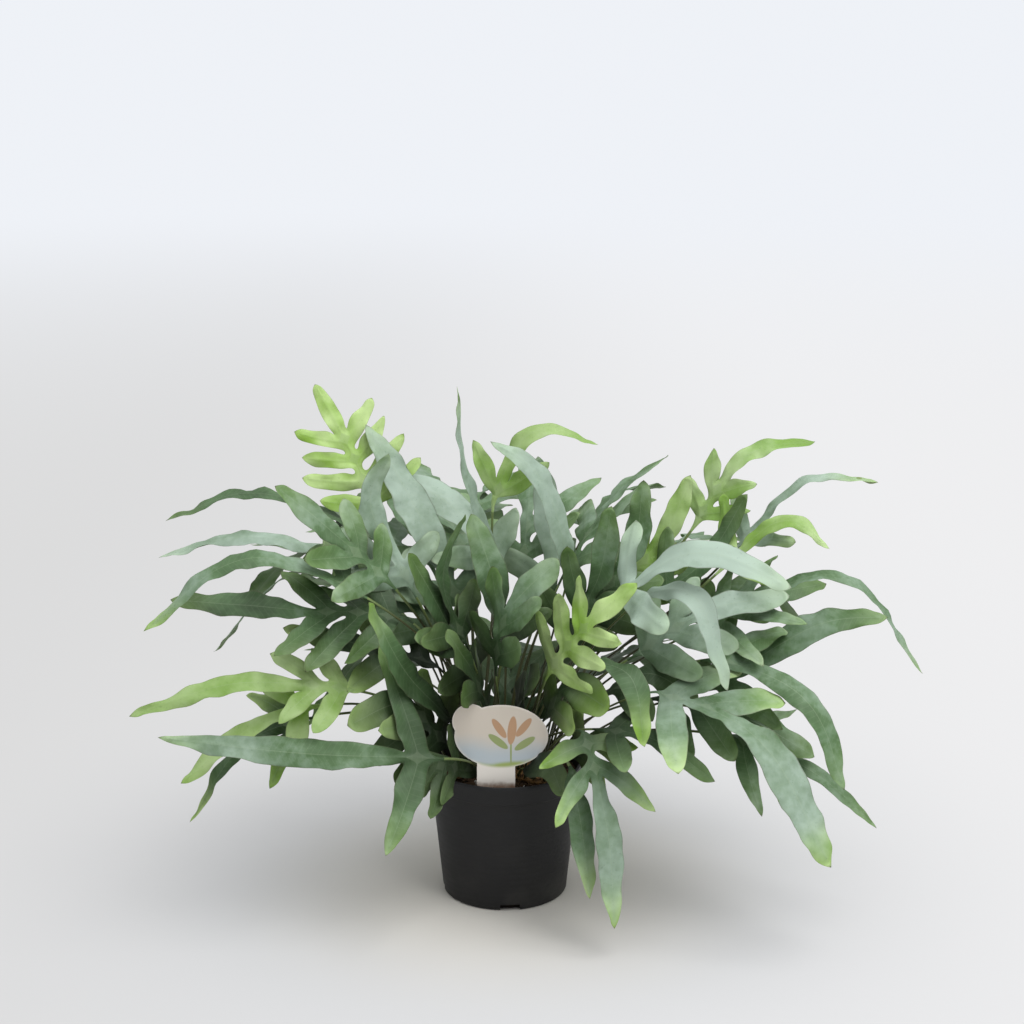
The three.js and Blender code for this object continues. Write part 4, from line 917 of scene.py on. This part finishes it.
peat_places, perlite_places = [], []
for i in range(CRUMBS):
    reach = (soil_radius - 2.5) * math.sqrt(rng.random())
    turn = rng.uniform(0, math.tau)
    size = rng.uniform(0.7, 2.0)
    spot = Vector((reach * math.cos(turn), reach * math.sin(turn), SOIL_TOP + rng.uniform(-0.2, 0.9))) * MM
    if i % PERLITE_EVERY:
        sizes = [size * rng.uniform(0.6, 1.6) * MM for _ in range(3)]
        peat_places.append((spot, sizes, random_turn()))
    else:
        perlite_places.append((spot, [size * 0.9 * MM] * 3, random_turn()))
peat = scattered("soil_crumbs", crumb_points, crumb_faces, peat_places)
perlite = scattered("soil_perlite", crumb_points, crumb_faces, perlite_places)
print("crumbs", len(peat_places), "perlite", len(perlite_places))

# %% [markdown]
# ## Finish of the potting mix
# Damp peat is nearly black with paler fibres and bits of bark. Fine noise gives the fibres their
# colour and their relief, broader noise the bark, and deep in the pot the mix gets painted shade, black.

# %% Soil finishes
PEAT_DARK = (0.014, 0.009, 0.006, 1)
PEAT_LIGHT = (0.085, 0.05, 0.028, 1)
BARK = (0.12, 0.075, 0.04, 1)
PERLITE_GREY = (0.5, 0.48, 0.43, 1)
PERLITE_WHITE = (0.72, 0.7, 0.66, 1)
PAINTED_SHADE_HEIGHTS = (0.03, 0.09)
soil_paint, tree, shader = finish_named("potting_mix", Roughness=0.95, Specular_IOR_Level=0.15)
fibre = marbled(tree, 260.0, 6.0)
clump = marbled(tree, 60.0, 3.0)
colour = mixed(tree, ranged(tree, fibre, 0.3, 0.7), PEAT_DARK, PEAT_LIGHT)
colour = mixed(tree, ranged(tree, clump, 0.5, 0.7, 0.0, 0.5), colour, BARK)
depth = apart_axes(tree, place(tree))
# Painted shade: deep in the pot the mix is darkened to black.
colour = mixed(tree, ranged(tree, depth.outputs["Z"], *PAINTED_SHADE_HEIGHTS, 0.95, 0.0), colour, BLACK)
tree.links.new(colour, shader.inputs["Base Color"])
bumped(tree, shader, fibre, 0.8, 0.0012)
perlite_paint, tree, shader = finish_named("perlite_grain", Roughness=0.9)
colour = mixed(tree, marbled(tree, 500.0), PERLITE_GREY, PERLITE_WHITE)
tree.links.new(colour, shader.inputs["Base Color"])
for piece, paint in ((soil, soil_paint), (peat, soil_paint), (perlite, perlite_paint)):
    piece.data.materials.append(paint)
    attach(piece, "root")
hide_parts("soil")
print("soil finishes:", soil_paint.name, perlite_paint.name)

# %% [markdown]
# ## Creeping rhizome
# The fern spreads by thick rootstocks that creep over the mix, clothed in golden-brown hair scales.
# The CAD arms are smoothed and made knobbly, and thousands of fine hairs, each a slim three-sided
# spike, stand out of their skin, leaning towards the growing tip.

# %% Rhizome
HAIRS = 5200
HAIR_LENGTH = (1.6, 4.2)
HAIR_RADIUS = 0.11
HAIR_SUNK = 0.3 * MM
KNOBS = 0.8 * MM


def cad_copy(node, name):
    """A new piece with the CAD node's joined mesh."""
    shape = bmesh.new()
    shape.from_mesh(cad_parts[node].data)
    bmesh.ops.remove_doubles(shape, verts=shape.verts, dist=JOIN)
    mesh = bpy.data.meshes.new(name)
    shape.to_mesh(mesh)
    shape.free()
    piece = bpy.data.objects.new(name, mesh)
    bpy.context.scene.collection.objects.link(piece)
    bpy.ops.object.select_all(action="DESELECT")
    bpy.context.view_layer.objects.active = piece
    piece.select_set(True)
    return piece


rhizome = cad_copy("rhizome", "creeping_rhizome")
smoothing = rhizome.modifiers.new("smooth_skin", "SUBSURF")
smoothing.levels = smoothing.render_levels = 2
bpy.ops.object.modifier_apply(modifier="smooth_skin")
spots = points_of(rhizome.data)
own = np.empty(spots.size, dtype=np.float32)
rhizome.data.vertex_normals.foreach_get("vector", own)
put_points(rhizome.data, spots + own.reshape(-1, 3) * (cloudy(spots, 6 * MM, 9) * KNOBS)[:, None])
bpy.ops.object.shade_smooth()

hair_points, hair_faces = [], []
faces = [f for f in rhizome.data.polygons if f.normal.z > -0.25]
weights = [f.area for f in faces]
for face in rng.choices(faces, weights=weights, k=HAIRS):
    root = face.center - face.normal * HAIR_SUNK
    out = Vector((face.center.x, face.center.y, 0)).normalized()
    swing = Vector((rng.uniform(-1, 1), rng.uniform(-1, 1), rng.uniform(-0.4, 0.6)))
    course = (face.normal * 0.8 + out * 0.55 + swing * 0.5).normalized()
    side = course.orthogonal().normalized() * HAIR_RADIUS * MM
    length = rng.uniform(*HAIR_LENGTH) * MM
    first = len(hair_points)
    for i in range(3):
        hair_points.append(root + Matrix.Rotation(math.tau * i / 3, 3, course) @ side)
    hair_points.append(root + course * length + Vector((0, 0, -0.15)) * length)
    hair_faces += [(first + i, first + (i + 1) % 3, first + 3) for i in range(3)]
    hair_faces.append((first + 2, first + 1, first))
hair_mesh = bpy.data.meshes.new("rhizome_hairs")
hair_mesh.from_pydata([tuple(point) for point in hair_points], [], hair_faces)
hairs = bpy.data.objects.new("rhizome_hairs", hair_mesh)
bpy.context.scene.collection.objects.link(hairs)
print("rhizome faces", len(rhizome.data.polygons), "hairs", HAIRS)

# %% [markdown]
# ## Rhizome finishes
# The skin is a dark felt, and the hair scales over it are golden brown with a faint sheen. Two
# finishes keep them apart, because a hair catches the light and the felt does not.

# %% Rhizome finishes
FELT_DARK = (0.07, 0.032, 0.01, 1)
FELT_LIGHT = (0.3, 0.17, 0.055, 1)
HAIR_DARK = (0.2, 0.095, 0.026, 1)
HAIR_GOLD = (0.46, 0.27, 0.09, 1)
fur_paint, tree, shader = finish_named("rhizome_skin", Roughness=0.85)
fur = marbled(tree, 300.0, 5.0)
colour = mixed(tree, ranged(tree, fur, 0.3, 0.7), FELT_DARK, FELT_LIGHT)
tree.links.new(colour, shader.inputs["Base Color"])
bumped(tree, shader, fur, 0.7, 0.001)
hair_paint, tree, shader = finish_named("rhizome_hair", Roughness=0.6, Sheen_Weight=0.3)
colour = mixed(tree, ranged(tree, marbled(tree, 120.0), 0.3, 0.7), HAIR_DARK, HAIR_GOLD)
tree.links.new(colour, shader.inputs["Base Color"])
rhizome.data.materials.append(fur_paint)
hairs.data.materials.append(hair_paint)
for piece in (rhizome, hairs):
    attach(piece, "root")
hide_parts("rhizome")
print("rhizome finishes:", fur_paint.name, hair_paint.name)

# %% [markdown]
# ## Plant tag
# A die-cut tag of thin white card stands behind the rim: an oval head with a round bump on a stem.
# Three flat bodies are joined and their edges lightly rounded. One traced outline would do as well,
# but ovals and a stem are easier to set in millimetres.

# %% Tag
TAG_HEAD = (-3, 178, 44, 31)
TAG_BUMP = (-32, 193, 17, 17)
TAG_STEM = (-8, 18, 165, 108, 92)
TAG_Y = -62
TAG_THICK = 0.8
TAG_EDGE = 0.16 * MM
OVAL_SIDES = 112


def tag_disc(x, z, half_width, half_height):
    """An upright oval plate, sizes in mm."""
    bpy.ops.object.select_all(action="DESELECT")
    bpy.ops.mesh.primitive_cylinder_add(vertices=OVAL_SIDES, radius=1, depth=TAG_THICK * MM,
                                        rotation=(math.pi / 2, 0, 0),
                                        location=(x * MM, TAG_Y * MM, z * MM))
    disc = bpy.context.object
    disc.scale = (half_width * MM, half_height * MM, 1)
    bpy.ops.object.transform_apply(location=True, rotation=True, scale=True)
    return disc


def tag_stem():
    """The stem's plate with its pointed foot."""
    middle, half, top, shoulder, point = TAG_STEM
    outline = [(middle - half, top), (middle - half, shoulder), (middle, point)]
    outline += [(middle + half, shoulder), (middle + half, top)]
    mesh = bpy.data.meshes.new("stem")
    front = (TAG_Y - TAG_THICK / 2) * MM
    mesh.from_pydata([(x * MM, front, z * MM) for x, z in outline], [], [range(len(outline))])
    stem = bpy.data.objects.new("stem", mesh)
    bpy.context.scene.collection.objects.link(stem)

    def work():
        bpy.ops.mesh.extrude_region_move(TRANSFORM_OT_translate={"value": (0, TAG_THICK * MM, 0)})
        bpy.ops.mesh.select_all(action="SELECT")
        bpy.ops.mesh.normals_make_consistent(inside=False)

    in_edit_mode(stem, work)
    return stem


tag = tag_disc(*TAG_HEAD)
tag.name = "plant_tag"
for other in (tag_disc(*TAG_BUMP), tag_stem()):
    union = tag.modifiers.new("union", "BOOLEAN")
    union.operation = "UNION"
    union.solver = "EXACT"
    union.object = other
    bpy.ops.object.select_all(action="DESELECT")
    bpy.context.view_layer.objects.active = tag
    tag.select_set(True)
    bpy.ops.object.modifier_apply(modifier="union")
    bpy.data.objects.remove(other)
rounding = tag.modifiers.new("rounding", "BEVEL")
rounding.width = TAG_EDGE
rounding.segments = 2
rounding.limit_method = "ANGLE"
rounding.angle_limit = math.radians(50)
bpy.ops.object.modifier_apply(modifier="rounding")
bpy.ops.object.shade_smooth_by_angle(angle=math.radians(35))
print("tag faces", len(tag.data.polygons))

# %% [markdown]
# ## Print on the tag
# The print on its front is plain: a cream sky over a pale blue haze and a green hill, with a sprig
# of simple leaves. Each leaf is one soft-edged oval that a Mapping node sets in place. Damp from the
# soil has stained the foot of the stem.

# %% Tag finishes
TAG_CREAM = (0.66, 0.59, 0.5, 1)
TAG_HAZE = (0.48, 0.54, 0.57, 1)
TAG_HILL = (0.34, 0.42, 0.12, 1)
TAG_WHITE = (0.82, 0.77, 0.7, 1)
TAG_STAIN = (0.16, 0.07, 0.025, 1)
TAG_AGED = (0.66, 0.62, 0.55, 1)
HAZE_TO_CREAM = (0.158, 0.182)
STAIN_FADES = (0.131, 0.14)
LEAF_TINT = (0.3, 0.36, 0.14, 1)
TAN_TINT = (0.5, 0.3, 0.17, 1)
SPRIG = (
    (6, 163, 0.9, 16, 0, LEAF_TINT), (7, 184, 4.4, 15, 6, TAN_TINT), (-6, 173, 3.8, 12, -52, LEAF_TINT),
    (19, 171, 3.8, 12, 56, LEAF_TINT), (-5, 186, 3.8, 12, -34, TAN_TINT), (18, 187, 3.8, 12, 38, TAN_TINT),
)


def oval_mask(tree, spot, x, z, half_width, half_height, turn):
    """A soft-edged oval on the tag's face, sizes in mm, turned by degrees."""
    mapping = add_node(tree, "ShaderNodeMapping", vector_type="TEXTURE")
    mapping.inputs["Location"].default_value = (x * MM, TAG_Y * MM, z * MM)
    mapping.inputs["Rotation"].default_value = (0, math.radians(turn), 0)
    mapping.inputs["Scale"].default_value = (half_width * MM, 1, half_height * MM)
    tree.links.new(spot, mapping.inputs["Vector"])
    length = add_node(tree, "ShaderNodeVectorMath", operation="LENGTH")
    tree.links.new(mapping.outputs["Vector"], length.inputs[0])
    return ranged(tree, length.outputs["Value"], 0.88, 1.0, 1.0, 0.0)


def tag_print():
    """The printed front: a plain landscape with a sprig."""
    paint, tree, shader = finish_named("tag_print", Roughness=0.4)
    spot = place(tree)
    parts = apart_axes(tree, spot)
    drift = counted(tree, "MULTIPLY", counted(tree, "SUBTRACT", marbled(tree, 22.0), 0.5), 0.018)
    level = counted(tree, "ADD", parts.outputs["Z"], drift)
    colour = mixed(tree, ranged(tree, level, *HAZE_TO_CREAM), TAG_HAZE, TAG_CREAM)
    hill = counted(tree, "SUBTRACT", level, counted(tree, "MULTIPLY", parts.outputs["X"], 0.12))
    colour = mixed(tree, ranged(tree, hill, 0.151, 0.156, 1.0, 0.0), colour, TAG_HILL)
    for x, z, half_width, half_height, turn, tint in SPRIG:
        colour = mixed(tree, oval_mask(tree, spot, x, z, half_width, half_height, turn), colour, tint)
    head = oval_mask(tree, spot, TAG_HEAD[0], TAG_HEAD[1], TAG_HEAD[2] + 2.2, TAG_HEAD[3] + 1.4, 0)
    bump = oval_mask(tree, spot, TAG_BUMP[0], TAG_BUMP[1], TAG_BUMP[2] + 0.6, TAG_BUMP[3] + 0.6, 0)
    inked = counted(tree, "MAXIMUM", head, bump)
    colour = mixed(tree, inked, TAG_WHITE, colour)
    seep = counted(tree, "MULTIPLY", marbled(tree, 160.0, 4.0), 0.01)
    stain_top = counted(tree, "ADD", parts.outputs["Z"], seep)
    colour = mixed(tree, ranged(tree, stain_top, *STAIN_FADES, 0.9, 0.0), colour, TAG_STAIN)
    tree.links.new(colour, shader.inputs["Base Color"])
    bumped(tree, shader, marbled(tree, 700.0), 0.08, 0.0002)
    return paint


card_paint, tree, shader = finish_named("tag_card", Roughness=0.6)
tree.links.new(mixed(tree, marbled(tree, 90.0), TAG_WHITE, TAG_AGED), shader.inputs["Base Color"])
tag.data.materials.append(card_paint)
tag.data.materials.append(tag_print())
for face in tag.data.polygons:
    face.material_index = 1 if face.normal.y < -0.9 else 0
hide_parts("tag")
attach(tag, "root")
print("tag finishes:", [paint.name for paint in tag.data.materials])
